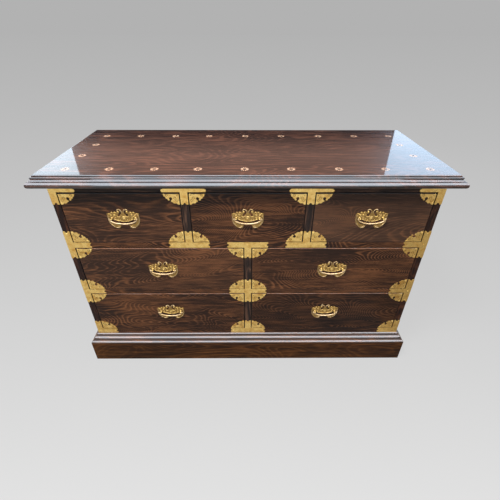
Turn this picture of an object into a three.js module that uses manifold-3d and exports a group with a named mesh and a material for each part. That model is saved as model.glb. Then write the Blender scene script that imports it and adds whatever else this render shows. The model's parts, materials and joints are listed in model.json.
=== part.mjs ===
// Chest of drawers with a moulded top, a moulded plinth and brass medallion mounts.
// Units are millimetres. X runs to the right, Y to the back and Z up. The origin is on the floor, under the
// middle of the whole chest, and the drawers face -Y.
import * as THREE from "three";
import { mergeVertices } from "three/addons/utils/BufferGeometryUtils.js";
import Module from "manifold-3d";

const wasm = await Module();
wasm.setup();

// Driving dimensions of the carcass
const carcassWidth = 1192;
const carcassDepth = 477;
const sideThickness = 22;
const backThickness = 8;
const floorThickness = 12;
const dividerWidth = 24;
const centreDrawerOpening = 362;

// Heights of the front, from the floor up
const baseHeight = 128;
const bottomRailHeight = 24;
const lowerOpeningHeight = 182.5;
const lowerRailHeight = 19.5;
const middleOpeningHeight = 180;
const upperRailHeight = 22;
const upperOpeningHeight = 177.5;
const topRailHeight = 24.5;

// Top board and its edge, from the underside up
const topThickness = 37;
const topOverhang = 39;
const noseRadius = 10;
const noseQuirk = 1;
const coveRadius = 7;
const coveSetback = 7.5;
const beadRadius = 2.8;
const beadFillet = 1;
const topFilletSetback = 18.6;
const topFilletHeight = 5;
const topArris = 3;

// Plinth and its moulding, from the ledge against the carcass out and down
const plinthLedge = 1.5;
const upperOvoloRadius = 5.5;
const upperQuirkRise = 5.5;
const upperQuirkDepth = 1;
const lowerOvoloRadius = 9.5;
const lowerQuirkRise = 4.5;
const lowerQuirkDepth = 2.2;
const plinthRound = 8;
const plinthBackThickness = 22;

// Web frames behind the rails
const railDepth = 60;
const kickerWidth = 50;
const dustPanelThickness = 6.5;
const bottomRailThickness = 22;
const bottomRailTuck = 30;

// Drawers
const frontThickness = 20;
const frontGapSide = 2;
const frontGapTop = 3;
const frontGapBottom = 0.5;
const boxWall = 12;
const boxBottomThickness = 6;
const boxBottomRise = 8;
const boxTopDrop = 8;
const boxRunningGap = 0.3;
const boxBackGap = 9;

// Brass medallions, centred on each crossing of the front frame and parted by the drawer gaps
const brassThickness = 1;
const medallionWidth = 135;
const medallionHeight = 104;
const keyholeRadius = 3;
const keyholeMouth = 3.2;
const endNotchRadius = 4;
const medallionSquareness = 2.25;
const lobesPerQuarter = 6;
const lobeSwellShare = 0.035;
const keyholeReachShare = 0.87;
const keyholeTurnShare = 0.5;

// Handle backplates and bails
const plateWidth = 100;
const plateHeight = 70;
const plateThickness = 1.4;
const bailPivotRise = 2.5;
const bailPivotReach = 8;
const bailDrop = 17;
const bailEndRadius = 1.9;
const bailMiddleHeight = 5.4;
const bailMiddleThickness = 4.6;
const bailEyeRadius = 2.6;
const postSpacing = 74;
const postShaftRadius = 2.2;
const postBallRadius = 3.4;
const pinRadius = 1.5;
const pinClearance = 0.4;
const bailSideGap = 0.6;

// Fits
const jointGap = 0.3;
const cutOverrun = 2;
const weldTolerance = 1e-4;

// Numbers of facets
const arcSteps = 4;
const edgeSteps = 3;
const lobeSteps = 3;
const plateSteps = 2;
const ballSteps = 2;
const roundSides = 8;
const bailSteps = 14;
const bailSides = 8;

// Levels and planes that the pieces share
const bottomRailTop = baseHeight + bottomRailHeight;
const lowerRailBottom = bottomRailTop + lowerOpeningHeight;
const lowerRailTop = lowerRailBottom + lowerRailHeight;
const upperRailBottom = lowerRailTop + middleOpeningHeight;
const upperRailTop = upperRailBottom + upperRailHeight;
const topRailBottom = upperRailTop + upperOpeningHeight;
const carcassTop = topRailBottom + topRailHeight;
const backY = (carcassDepth + topOverhang) / 2;
const frontY = backY - carcassDepth;
const backPanelFront = backY - backThickness;
const outerX = carcassWidth / 2;
const innerX = outerX - sideThickness;
const upperDividerX = (centreDrawerOpening + dividerWidth) / 2;

function rail(bottom, top) {
  return { bottom, top, middle: (bottom + top) / 2 };
}

const rails = {
  top: rail(topRailBottom, carcassTop),
  upper: rail(upperRailBottom, upperRailTop),
  lower: rail(lowerRailBottom, lowerRailTop),
  bottom: rail(baseHeight, bottomRailTop),
};

// A bay is one drawer's opening between two posts of the front.
function bay(name, left, right, leftPost, rightPost) {
  return { name, left, right, leftPost, rightPost };
}

function splitRow(name) {
  const half = dividerWidth / 2;
  return [
    bay(name + "_left", -innerX, -half, sideThickness, dividerWidth),
    bay(name + "_right", half, innerX, dividerWidth, sideThickness),
  ];
}

const centreBayX = centreDrawerOpening / 2;
const upperBays = [
  bay("upper_left", -innerX, -centreBayX - dividerWidth, sideThickness, dividerWidth),
  bay("upper_centre", -centreBayX, centreBayX, dividerWidth, dividerWidth),
  bay("upper_right", centreBayX + dividerWidth, innerX, dividerWidth, sideThickness),
];

const rows = {
  upper: { floor: rails.upper, ceiling: rails.top, bays: upperBays },
  middle: { floor: rails.lower, ceiling: rails.upper, bays: splitRow("middle") },
  lower: { floor: rails.bottom, ceiling: rails.lower, bays: splitRow("lower") },
};

const partitions = [
  ["upper", "partition_upper_left", -upperDividerX],
  ["upper", "partition_upper_right", upperDividerX],
  ["middle", "partition_middle", 0],
  ["lower", "partition_lower", 0],
];

const hands = [
  ["left", -1],
  ["right", 1],
];

// Two places with the lower one first.
function ordered(a, b) {
  return a < b ? [a, b] : [b, a];
}

const quarterTurns = [0, 1, 2, 3].map((quarter) => (quarter * Math.PI) / 2);

// Where the mounts lie: on a stile or a divider, at a rail, over the uprights above or below that rail.
function stileMount(name, rail, above, below) {
  return hands.map(([side, hand]) => {
    const [left, right] = ordered(hand * innerX, hand * outerX);
    return { name: name + "_" + side, left, right, rail, above, below };
  });
}

function dividerMount(name, x, rail, above, below) {
  return { name, left: x - dividerWidth / 2, right: x + dividerWidth / 2, rail, above, below };
}

const frameMounts = [
  ...stileMount("corner_top", rails.top, false, true),
  ...stileMount("stile_upper", rails.upper, true, true),
  ...stileMount("stile_lower", rails.lower, true, true),
  ...stileMount("corner_bottom", rails.bottom, true, false),
  dividerMount("divider_head_left", -upperDividerX, rails.top, false, true),
  dividerMount("divider_head_right", upperDividerX, rails.top, false, true),
  dividerMount("divider_foot_left", -upperDividerX, rails.upper, true, false),
  dividerMount("divider_foot_right", upperDividerX, rails.upper, true, false),
  dividerMount("centre_head", 0, rails.upper, false, true),
  dividerMount("centre_cross", 0, rails.lower, true, true),
  dividerMount("centre_foot", 0, rails.bottom, true, false),
];

const finishes = {
  caseWood: { color: 0x3a2a24, roughness: 0.3, metalness: 0 },
  darkWood: { color: 0x2b2325, roughness: 0.35, metalness: 0 },
  frontWood: { color: 0x4a3226, roughness: 0.3, metalness: 0 },
  boxWood: { color: 0xa98a62, roughness: 0.7, metalness: 0 },
  mountBrass: { color: 0xd1ab58, roughness: 0.3, metalness: 1 },
  handleBrass: { color: 0xb9a06a, roughness: 0.35, metalness: 1 },
};

const chest = new THREE.Group();
chest.name = "chest_of_drawers";

// Solids

// Turns a closed three.js geometry into a solid that can be joined and cut.
function solid(geometry) {
  const flat = geometry.index ? geometry.toNonIndexed() : geometry;
  const bare = new THREE.BufferGeometry().setAttribute("position", flat.getAttribute("position"));
  const merged = mergeVertices(bare, weldTolerance);
  return new wasm.Manifold(
    new wasm.Mesh({
      numProp: 3,
      vertProperties: merged.attributes.position.array,
      triVerts: new Uint32Array(merged.index.array),
    }),
  );
}

function geometryOf(shape) {
  const { vertProperties, triVerts } = shape.getMesh();
  const geometry = new THREE.BufferGeometry();
  geometry.setAttribute("position", new THREE.BufferAttribute(vertProperties, 3));
  geometry.setIndex(new THREE.BufferAttribute(triVerts, 1));
  return geometry;
}

// Names a solid, gives it a finish and puts it in the chest.
function addPiece(name, shape, finish) {
  const geometry = geometryOf(shape);
  geometry.computeVertexNormals();
  const mesh = new THREE.Mesh(geometry, new THREE.MeshStandardMaterial(finishes[finish]));
  mesh.name = name;
  chest.add(mesh);
}

// A box between two corners, which it meets exactly.
function block([x0, y0, z0], [x1, y1, z1]) {
  const geometry = new THREE.BoxGeometry(1, 1, 1);
  const position = geometry.attributes.position;
  for (let i = 0; i < position.count; i += 1) {
    const x = position.getX(i) < 0 ? x0 : x1;
    const y = position.getY(i) < 0 ? y0 : y1;
    const z = position.getZ(i) < 0 ? z0 : z1;
    position.setXYZ(i, x, y, z);
  }
  return solid(geometry);
}

// Moves a flat form drawn in X and Y, with its thickness along Z, on to an upright plane.
// right is the plane's direction to the right and outward its direction to the viewer.
function stand(geometry, origin, right, outward) {
  const position = geometry.attributes.position;
  for (let i = 0; i < position.count; i += 1) {
    const across = position.getX(i);
    const up = position.getY(i);
    const out = position.getZ(i);
    position.setXYZ(
      i,
      origin[0] + right[0] * across + outward[0] * out,
      origin[1] + right[1] * across + outward[1] * out,
      origin[2] + up,
    );
  }
  return geometry;
}

const toRight = [1, 0, 0];
const toFront = [0, -1, 0];

// Rings around the chest, one for each point of a profile, closed below and above.
// A profile point holds how far the ring stands out from the plan and how high it lies.
function mouldedSlab(profile, halfWidth, nearY, farY, baseZ) {
  const corners = [];
  for (const { x: out, y: up } of profile) {
    const x = halfWidth + out;
    const near = nearY - out;
    const far = farY + out;
    const z = baseZ + up;
    corners.push(-x, near, z, x, near, z, x, far, z, -x, far, z);
  }
  const faces = [0, 2, 1, 0, 3, 2];
  for (let ring = 0; ring < profile.length - 1; ring += 1) {
    for (let side = 0; side < 4; side += 1) {
      const a = ring * 4 + side;
      const b = ring * 4 + ((side + 1) % 4);
      faces.push(a, b, b + 4, a, b + 4, a + 4);
    }
  }
  const last = (profile.length - 1) * 4;
  faces.push(last, last + 1, last + 2, last, last + 2, last + 3);
  const geometry = new THREE.BufferGeometry();
  geometry.setAttribute("position", new THREE.Float32BufferAttribute(corners, 3));
  geometry.setIndex(faces);
  return solid(geometry);
}

// Top board

// The edge from the underside up: bullnose, cove, bead and fillet. Zero is the bullnose's outermost line.
function topEdgeProfile() {
  const noseTurn = Math.acos((noseRadius - coveSetback + noseQuirk) / noseRadius);
  const coveFoot = noseRadius + noseRadius * Math.sin(noseTurn);
  const coveTop = coveFoot + coveRadius;
  const beadOut = -coveSetback - coveRadius + beadFillet;
  const filletFoot = topThickness - topFilletHeight;
  const edge = new THREE.Path();
  edge.moveTo(-noseRadius, 0);
  edge.absarc(-noseRadius, noseRadius, noseRadius, -Math.PI / 2, 0, false);
  edge.absarc(-noseRadius, noseRadius, noseRadius, 0, noseTurn, false);
  edge.lineTo(-coveSetback, coveFoot);
  edge.absarc(-coveSetback, coveTop, coveRadius, -Math.PI / 2, -Math.PI, true);
  edge.lineTo(beadOut, coveTop);
  edge.lineTo(beadOut, filletFoot - beadRadius);
  edge.absarc(beadOut - beadRadius, filletFoot - beadRadius, beadRadius, 0, Math.PI / 2, false);
  edge.lineTo(-topFilletSetback, filletFoot);
  edge.lineTo(-topFilletSetback, topThickness - topArris);
  edge.lineTo(-topFilletSetback - topArris, topThickness);
  return edge.getPoints(edgeSteps);
}

function addTop() {
  const reach = outerX + topOverhang;
  const near = frontY - topOverhang;
  const slab = mouldedSlab(topEdgeProfile(), reach, near, backY + topOverhang, carcassTop);
  const behind = block(
    [-reach - cutOverrun, backY, carcassTop - cutOverrun],
    [reach + cutOverrun, backY + topOverhang + cutOverrun, carcassTop + topThickness + cutOverrun],
  );
  addPiece("top_board", slab.subtract(behind), "caseWood");
}

// Plinth

// The moulding from the floor up: plain face with a rounded edge, then two ovolos, each above a quirk.
// Zero is the face of the carcass.
function plinthProfile() {
  const upperOut = plinthLedge + upperOvoloRadius;
  const upperQuirk = upperOut + upperQuirkDepth;
  const lowerOut = upperQuirk + lowerOvoloRadius;
  const lowerQuirk = lowerOut + lowerQuirkDepth;
  const faceOut = lowerQuirk + plinthRound;
  const upperFoot = baseHeight - upperOvoloRadius;
  const lowerHead = upperFoot - upperQuirkRise;
  const lowerFoot = lowerHead - lowerOvoloRadius;
  const faceHead = lowerFoot - lowerQuirkRise;
  const faceTop = faceHead - plinthRound;
  const moulding = new THREE.Path();
  moulding.moveTo(faceOut, 0);
  moulding.lineTo(faceOut, faceTop);
  moulding.absarc(lowerQuirk, faceTop, plinthRound, 0, Math.PI / 2, false);
  moulding.lineTo(lowerOut, faceHead);
  moulding.lineTo(lowerOut, lowerFoot);
  moulding.absarc(upperQuirk, lowerFoot, lowerOvoloRadius, 0, Math.PI / 2, false);
  moulding.lineTo(upperOut, lowerHead);
  moulding.lineTo(upperOut, upperFoot);
  moulding.absarc(plinthLedge, upperFoot, upperOvoloRadius, 0, Math.PI / 2, false);
  return moulding.getPoints(arcSteps);
}

// An upright prism over a plan outline.
function prism(corners, z0, z1) {
  const plan = new THREE.Shape(corners.map(([x, y]) => new THREE.Vector2(x, y)));
  const geometry = new THREE.ExtrudeGeometry(plan, { depth: z1 - z0, bevelEnabled: false });
  return solid(geometry.translate(0, 0, z0));
}

// The moulding runs round the front and both sides, and its three boards meet in mitres at the front corners.
function addPlinth() {
  const profile = plinthProfile();
  const reach = profile[0].x + cutOverrun;
  const low = -cutOverrun;
  const high = baseHeight + cutOverrun;
  const far = backY + reach + cutOverrun;
  const mitreGap = jointGap * Math.SQRT2;
  const skirt = mouldedSlab(profile, outerX, frontY, backY, 0)
    .subtract(block([-outerX, frontY, low], [outerX, far, high]))
    .subtract(block([-outerX - reach, backY, low], [outerX + reach, far, high]));
  const frontPlan = [
    [-outerX + mitreGap - reach, frontY - reach],
    [outerX - mitreGap + reach, frontY - reach],
    [outerX - mitreGap - cutOverrun, frontY + cutOverrun],
    [-outerX + mitreGap + cutOverrun, frontY + cutOverrun],
  ];
  addPiece("plinth_front", skirt.intersect(prism(frontPlan, low, high)), "caseWood");
  for (const [name, hand] of hands) {
    const sidePlan = [
      [hand * (outerX - cutOverrun), frontY + cutOverrun],
      [hand * (outerX - cutOverrun), far],
      [hand * (outerX + reach), far],
      [hand * (outerX + reach), frontY - reach],
    ];
    addPiece("plinth_" + name, skirt.intersect(prism(sidePlan, low, high)), "caseWood");
  }
  const backBoard = block([-innerX, backY - plinthBackThickness, 0], [innerX, backY, baseHeight]);
  addPiece("plinth_back", backBoard, "boxWood");
}

// Carcass

// A web frame: rails at the front and the back, kickers beside each drawer below, and a dust panel on top.
function webFrame(rail, baysBelow) {
  let frame = block([-innerX, frontY, rail.bottom], [innerX, backPanelFront, rail.top]);
  for (const bay of baysBelow) {
    const pocket = block(
      [bay.left + kickerWidth, frontY + railDepth, rail.bottom - cutOverrun],
      [bay.right - kickerWidth, backPanelFront - railDepth, rail.top - dustPanelThickness],
    );
    frame = frame.subtract(pocket);
  }
  return frame;
}

function addCarcass() {
  for (const [name, hand] of hands) {
    const [left, right] = ordered(hand * innerX, hand * outerX);
    addPiece("side_" + name, block([left, frontY, 0], [right, backY, carcassTop]), "darkWood");
  }
  const back = block([-innerX, backPanelFront, baseHeight], [innerX, backY, carcassTop]);
  addPiece("back_panel", back, "boxWood");
  const railBack = frontY + bottomRailThickness;
  const bottomRail = block(
    [-innerX, frontY, baseHeight - bottomRailTuck],
    [innerX, railBack, bottomRailTop],
  );
  addPiece("rail_bottom", bottomRail, "frontWood");
  const floor = block(
    [-innerX, railBack, bottomRailTop - floorThickness],
    [innerX, backPanelFront, bottomRailTop],
  );
  addPiece("floor_panel", floor, "boxWood");
  addPiece("frame_top", webFrame(rails.top, rows.upper.bays), "darkWood");
  addPiece("frame_upper", webFrame(rails.upper, rows.middle.bays), "frontWood");
  addPiece("frame_lower", webFrame(rails.lower, rows.lower.bays), "frontWood");
  for (const [row, name, x] of partitions) {
    const { floor: z0, ceiling: z1 } = rows[row];
    const board = block(
      [x - dividerWidth / 2, frontY, z0.top],
      [x + dividerWidth / 2, backPanelFront, z1.bottom],
    );
    addPiece(name, board, "darkWood");
  }
}

// Brass medallions

// The whole medallion lies in X and Y with its face at the brass's thickness and its back sunk by the given
// depth. Lobes meet in cusps on a squared ellipse, and each quarter has a keyhole notch.
function medallionForm(sunk) {
  const halfWidth = medallionWidth / 2;
  const halfHeight = medallionHeight / 2;
  const rim = (turn, reach) => {
    const across = Math.sin(turn);
    const up = Math.cos(turn);
    return [
      reach * halfWidth * Math.sign(across) * Math.abs(across) ** (2 / medallionSquareness),
      reach * halfHeight * Math.sign(up) * Math.abs(up) ** (2 / medallionSquareness),
    ];
  };
  const lobeTurn = Math.PI / 2 / lobesPerQuarter;
  const outline = new THREE.Shape();
  outline.moveTo(0, halfHeight);
  for (let lobe = 1; lobe <= 4 * lobesPerQuarter; lobe += 1) {
    const crest = rim((lobe - 1 / 2) * lobeTurn, 1 + 2 * lobeSwellShare);
    const cusp = lobe < 4 * lobesPerQuarter ? rim(lobe * lobeTurn, 1) : [0, halfHeight];
    outline.quadraticCurveTo(...crest, ...cusp);
  }
  const depth = brassThickness + sunk;
  const through = depth + 2 * cutOverrun;
  const face = { depth, bevelEnabled: false, curveSegments: lobeSteps };
  let form = solid(new THREE.ExtrudeGeometry(outline, face).translate(0, 0, -sunk));
  const middle = (brassThickness - sunk) / 2;
  const drill = (radius, x, y) => {
    const bit = new THREE.CylinderGeometry(radius, radius, through, roundSides);
    form = form.subtract(solid(bit.rotateX(Math.PI / 2).translate(x, y, middle)));
  };
  for (const turn of quarterTurns) {
    const [x, y] = rim(turn + (keyholeTurnShare * Math.PI) / 2, keyholeReachShare);
    const length = Math.hypot(x, y) * (1 / keyholeReachShare - 1) + endNotchRadius;
    drill(keyholeRadius, x, y);
    const mouth = new THREE.BoxGeometry(length, keyholeMouth, through);
    mouth.translate(length / 2, 0, 0);
    mouth.rotateZ(Math.atan2(y, x));
    form = form.subtract(solid(mouth.translate(x, y, middle)));
    const [endX, endY] = rim(turn, 1);
    drill(endNotchRadius, endX, endY);
  }
  return geometryOf(form);
}

const mountForm = medallionForm(0);
const reliefForm = medallionForm(cutOverrun);

function medallionAt(form, x, z) {
  return solid(stand(form.clone(), [x, frontY, z], toRight, toFront));
}

// A mount covers the frame at one crossing: the rail's strip and the upright's strip above or below it.
// On a stile it also turns the corner, and its wing lies on the side of the carcass.
function addMount({ name, left, right, rail, above, below }) {
  const x = (left + right) / 2;
  const z = rail.middle;
  const near = frontY - brassThickness - cutOverrun;
  const far = frontY + cutOverrun;
  const low = below ? z - medallionHeight : rail.bottom;
  const high = above ? z + medallionHeight : rail.top;
  const brassX = outerX + brassThickness;
  const cornerLeft = left === -outerX ? -brassX : left;
  const cornerRight = right === outerX ? brassX : right;
  const railStrip = block(
    [Math.max(x - medallionWidth, -brassX), near, rail.bottom],
    [Math.min(x + medallionWidth, brassX), far, rail.top],
  );
  const uprightStrip = block([cornerLeft, near, low], [cornerRight, far, high]);
  let mount = medallionAt(mountForm, x, z).intersect(railStrip.add(uprightStrip));
  if (cornerLeft !== left || cornerRight !== right) {
    mount = mount.add(cornerWing(Math.sign(x), z, low, high));
  }
  addPiece("mount_" + name, mount, "mountBrass");
}

// The part of a stile's medallion that is bent round the corner of the carcass.
function cornerWing(hand, z, low, high) {
  const origin = [hand * outerX, frontY - sideThickness / 2, z];
  const wing = solid(stand(mountForm.clone(), origin, [0, hand, 0], [hand, 0, 0]));
  const outside = outerX + brassThickness + cutOverrun;
  const [left, right] = ordered(hand * (outerX - cutOverrun), hand * outside);
  const sideFace = block(
    [left, frontY - brassThickness, low],
    [right, frontY + medallionWidth, high],
  );
  return wing.intersect(sideFace);
}

// Drawers

function addDrawer(row, bay) {
  const name = bay.name;
  const { floor, ceiling } = row;
  const x0 = bay.left + frontGapSide;
  const x1 = bay.right - frontGapSide;
  const z0 = floor.top + frontGapBottom;
  const z1 = ceiling.bottom - frontGapTop;
  const frontBack = frontY + frontThickness;
  const relief = block([x0, frontY - brassThickness - cutOverrun, z0], [x1, frontBack, z1]);
  let front = block([x0, frontY, z0], [x1, frontBack, z1]);
  for (const x of [bay.left - bay.leftPost / 2, bay.right + bay.rightPost / 2]) {
    for (const z of [floor.middle, ceiling.middle]) {
      front = front.add(medallionAt(reliefForm, x, z).intersect(relief));
    }
  }
  addPiece("drawer_front_" + name, front, "frontWood");

  const boxFloor = floor.top + boxRunningGap;
  const boxTop = z1 - boxTopDrop;
  const boxBack = backPanelFront - boxBackGap;
  const tray = block([x0, frontBack, boxFloor], [x1, boxBack, boxTop])
    .subtract(
      block(
        [x0 + boxWall, frontBack - cutOverrun, boxFloor + boxBottomRise + boxBottomThickness],
        [x1 - boxWall, boxBack - boxWall, boxTop + cutOverrun],
      ),
    )
    .subtract(
      block(
        [x0 + boxWall, frontBack - cutOverrun, boxFloor - cutOverrun],
        [x1 - boxWall, boxBack - boxWall, boxFloor + boxBottomRise],
      ),
    );
  addPiece("drawer_box_" + name, tray, "boxWood");
  addHandle(name, (x0 + x1) / 2, (z0 + z1) / 2);
}

// Handles

// Half of the backplate from the top of its middle, round the ear, along the wing, down to the foot and back
// along the slot under the body, as quadratic curves: control point, then end point, in shares of half its
// width and half its height.
const plateStartShare = [0, 0.71];
const plateOutlineShares = [
  [0.05, 0.97, 0.2, 1],
  [0.34, 1.01, 0.36, 0.79],
  [0.375, 0.72, 0.38, 0.66],
  [0.49, 0.83, 0.59, 0.66],
  [0.69, 0.84, 0.77, 0.6],
  [0.89, 0.62, 1, 0.54],
  [1, 0.25, 1, -0.05],
  [0.99, -0.36, 0.89, -0.56],
  [0.76, -0.84, 0.58, -0.93],
  [0.34, -1.06, 0.27, -0.76],
  [0.25, -0.68, 0.29, -0.62],
  [0.42, -0.6, 0.54, -0.54],
  [0.78, -0.46, 0.8, -0.06],
  [0.7, -0.14, 0.6, -0.18],
  [0.4, -0.34, 0.2, -0.38],
  [0.1, -0.39, 0, -0.39],
];

// The pierced comma in the ear, in the same shares.
const commaStartShare = [0.22, 0.9];
const commaOutlineShares = [
  [0.1, 0.88, 0.09, 0.68],
  [0.08, 0.52, 0.17, 0.42],
  [0.2, 0.3, 0.25, 0.28],
  [0.33, 0.32, 0.32, 0.46],
  [0.31, 0.52, 0.25, 0.53],
  [0.18, 0.57, 0.19, 0.68],
  [0.19, 0.8, 0.25, 0.85],
  [0.25, 0.89, 0.22, 0.9],
];

// A point on the left or right half of the backplate.
function halfPlate([across, up], hand) {
  return [(hand * across * plateWidth) / 2, (up * plateHeight) / 2];
}

function drawCurves(path, curves, hand) {
  for (const [controlX, controlY, endX, endY] of curves) {
    const control = halfPlate([controlX, controlY], hand);
    path.quadraticCurveTo(...control, ...halfPlate([endX, endY], hand));
  }
}

// The same curves in the opposite order, so that one half can follow the other back to the top.
function reversed(start, curves) {
  const ends = [start, ...curves.map(([, , x, y]) => [x, y])];
  return curves.map(([cx, cy], i) => [cx, cy, ...ends[i]]).reverse();
}

function backplate(x, z) {
  const outline = new THREE.Shape();
  outline.moveTo(...halfPlate(plateStartShare, -1));
  drawCurves(outline, plateOutlineShares, -1);
  drawCurves(outline, reversed(plateStartShare, plateOutlineShares), 1);
  for (const [, hand] of hands) {
    const comma = new THREE.Path();
    comma.moveTo(...halfPlate(commaStartShare, hand));
    drawCurves(comma, commaOutlineShares, hand);
    outline.holes.push(comma);
  }
  const face = { depth: plateThickness, bevelEnabled: false, curveSegments: plateSteps };
  const plate = new THREE.ExtrudeGeometry(outline, face);
  return solid(stand(plate, [x, frontY, z], toRight, toFront));
}

// A round bar along X, from one place to another.
function barAlongX(radius, x0, x1, y, z) {
  const bar = new THREE.CylinderGeometry(radius, radius, Math.abs(x1 - x0), roundSides);
  return solid(bar.rotateZ(Math.PI / 2).translate((x0 + x1) / 2, y, z));
}

// A post stands out of the plate and ends in a ball, which is bored along X for the bail's pin.
function post(x, z) {
  const neck = Math.asin(postShaftRadius / postBallRadius);
  const outline = new THREE.Path();
  outline.moveTo(0, plateThickness / 2);
  outline.lineTo(postShaftRadius, plateThickness / 2);
  outline.absarc(0, bailPivotReach, postBallRadius, neck - Math.PI / 2, Math.PI / 2, false);
  const points = outline.getPoints(ballSteps);
  points[points.length - 1].x = 0;
  const turned = new THREE.LatheGeometry(points, roundSides);
  const ball = solid(turned.rotateX(Math.PI).translate(x, frontY, z));
  const boreEnd = postBallRadius + cutOverrun;
  const bore = barAlongX(pinRadius + pinClearance, x - boreEnd, x + boreEnd, frontY - bailPivotReach, z);
  return ball.subtract(bore);
}

// The bail is a half ellipse that thickens to its middle, with an eye and an inward pin at each end.
function bail(x, y, z) {
  const postX = postSpacing / 2;
  const armX = postX + postBallRadius + bailSideGap + bailEndRadius;
  const positions = [];
  for (let step = 0; step <= bailSteps; step += 1) {
    const turn = (Math.PI * step) / bailSteps;
    const across = armX * Math.cos(turn);
    const down = -bailDrop * Math.sin(turn);
    const normal = new THREE.Vector2(bailDrop * Math.cos(turn), -armX * Math.sin(turn)).normalize();
    const swell = Math.sin(turn);
    const high = THREE.MathUtils.lerp(bailEndRadius, bailMiddleHeight / 2, swell);
    const thick = THREE.MathUtils.lerp(bailEndRadius, bailMiddleThickness / 2, swell);
    for (let side = 0; side < bailSides; side += 1) {
      const angle = (2 * Math.PI * side) / bailSides;
      const inPlane = high * Math.cos(angle);
      positions.push(
        x + across + normal.x * inPlane,
        y + thick * Math.sin(angle),
        z + down + normal.y * inPlane,
      );
    }
  }
  const faces = [];
  for (let step = 0; step < bailSteps; step += 1) {
    for (let side = 0; side < bailSides; side += 1) {
      const a = step * bailSides + side;
      const b = step * bailSides + ((side + 1) % bailSides);
      faces.push(a, b + bailSides, b, a, a + bailSides, b + bailSides);
    }
  }
  const last = bailSteps * bailSides;
  for (let side = 1; side < bailSides - 1; side += 1) {
    faces.push(0, side, side + 1, last, last + side + 1, last + side);
  }
  const geometry = new THREE.BufferGeometry();
  geometry.setAttribute("position", new THREE.Float32BufferAttribute(positions, 3));
  geometry.setIndex(faces);
  let form = solid(geometry);
  for (const [, hand] of hands) {
    const arm = x + hand * armX;
    const eye = barAlongX(bailEyeRadius, arm - bailEndRadius, arm + bailEndRadius, y, z);
    const pinEnd = x + hand * (postX - postBallRadius / 2);
    form = form.add(eye).add(barAlongX(pinRadius, pinEnd, arm, y, z));
  }
  return form;
}

function addHandle(name, x, z) {
  const pivotZ = z + bailPivotRise;
  const plate = backplate(x, z)
    .add(post(x - postSpacing / 2, pivotZ))
    .add(post(x + postSpacing / 2, pivotZ));
  addPiece("handle_plate_" + name, plate, "handleBrass");
  addPiece("bail_" + name, bail(x, frontY - bailPivotReach, pivotZ), "handleBrass");
}

addTop();
addPlinth();
addCarcass();
frameMounts.forEach(addMount);
for (const row of Object.values(rows)) {
  row.bays.forEach((bay) => addDrawer(row, bay));
}

export default chest;
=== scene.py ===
"""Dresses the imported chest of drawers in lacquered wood, brass mounts, brass handles and rosettes."""

import json
import math
from collections import namedtuple
from functools import partial

import bmesh
import bpy
from bpy.props import FloatProperty, FloatVectorProperty, IntProperty, PointerProperty
from mathutils import Matrix, Vector

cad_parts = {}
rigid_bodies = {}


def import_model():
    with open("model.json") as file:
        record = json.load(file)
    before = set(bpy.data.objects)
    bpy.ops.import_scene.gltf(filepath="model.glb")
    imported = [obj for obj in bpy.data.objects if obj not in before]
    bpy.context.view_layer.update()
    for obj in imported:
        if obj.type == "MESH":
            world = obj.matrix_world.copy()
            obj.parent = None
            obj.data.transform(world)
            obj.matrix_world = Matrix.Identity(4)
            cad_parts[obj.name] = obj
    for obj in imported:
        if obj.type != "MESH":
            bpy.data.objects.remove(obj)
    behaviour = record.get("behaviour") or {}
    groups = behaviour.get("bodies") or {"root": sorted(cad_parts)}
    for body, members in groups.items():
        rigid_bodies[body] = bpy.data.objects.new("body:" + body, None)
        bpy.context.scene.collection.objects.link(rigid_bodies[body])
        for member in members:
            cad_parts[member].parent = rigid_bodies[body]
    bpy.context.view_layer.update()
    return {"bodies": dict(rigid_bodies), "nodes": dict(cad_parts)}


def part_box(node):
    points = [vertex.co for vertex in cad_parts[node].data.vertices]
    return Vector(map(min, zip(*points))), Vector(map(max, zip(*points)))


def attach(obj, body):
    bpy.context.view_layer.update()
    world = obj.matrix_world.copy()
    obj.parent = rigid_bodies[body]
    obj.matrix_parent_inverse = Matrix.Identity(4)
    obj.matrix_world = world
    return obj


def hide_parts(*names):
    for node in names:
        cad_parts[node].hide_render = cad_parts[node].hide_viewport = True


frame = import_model()

bl_info = {
    "name": "Chest of drawers",
    "version": (1, 0, 0),
    "blender": (4, 5, 0),
    "location": "3D View > Sidebar > Chest",
    "description": "Dresses a chest of drawers in lacquered wood, brass mounts and brass handles",
    "category": "Object",
}

MM = 0.001
RIGHT = Vector((1, 0, 0))
DEPTH = Vector((0, 1, 0))
UP = Vector((0, 0, 1))
# The left and the right of what is mirrored.
HANDS = (-1, 1)

CARCASS = "carcass"
DRAWERS = tuple(sorted(n.removeprefix("drawer_") for n in frame["bodies"] if n.startswith("drawer_")))

FRONT_Y, BACK_Y = (corner.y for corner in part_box("side_left"))
INNER_X, OUTER_X = (corner.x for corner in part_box("side_right"))
PLINTH_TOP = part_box("plinth_front")[1].z

Span = namedtuple("Span", "low high")
RAILS = {
    "top": Span(*(corner.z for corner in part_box("frame_top"))),
    "upper": Span(*(corner.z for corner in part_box("frame_upper"))),
    "lower": Span(*(corner.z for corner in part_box("frame_lower"))),
    "bottom": Span(PLINTH_TOP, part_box("rail_bottom")[1].z),
}
POSTS = {
    "stile_left": Span(-OUTER_X, -INNER_X),
    "stile_right": Span(INNER_X, OUTER_X),
    "divider_left": Span(*(corner.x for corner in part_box("partition_upper_left"))),
    "divider_right": Span(*(corner.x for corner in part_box("partition_upper_right"))),
    "centre": Span(*(corner.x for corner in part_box("partition_middle"))),
}

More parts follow.
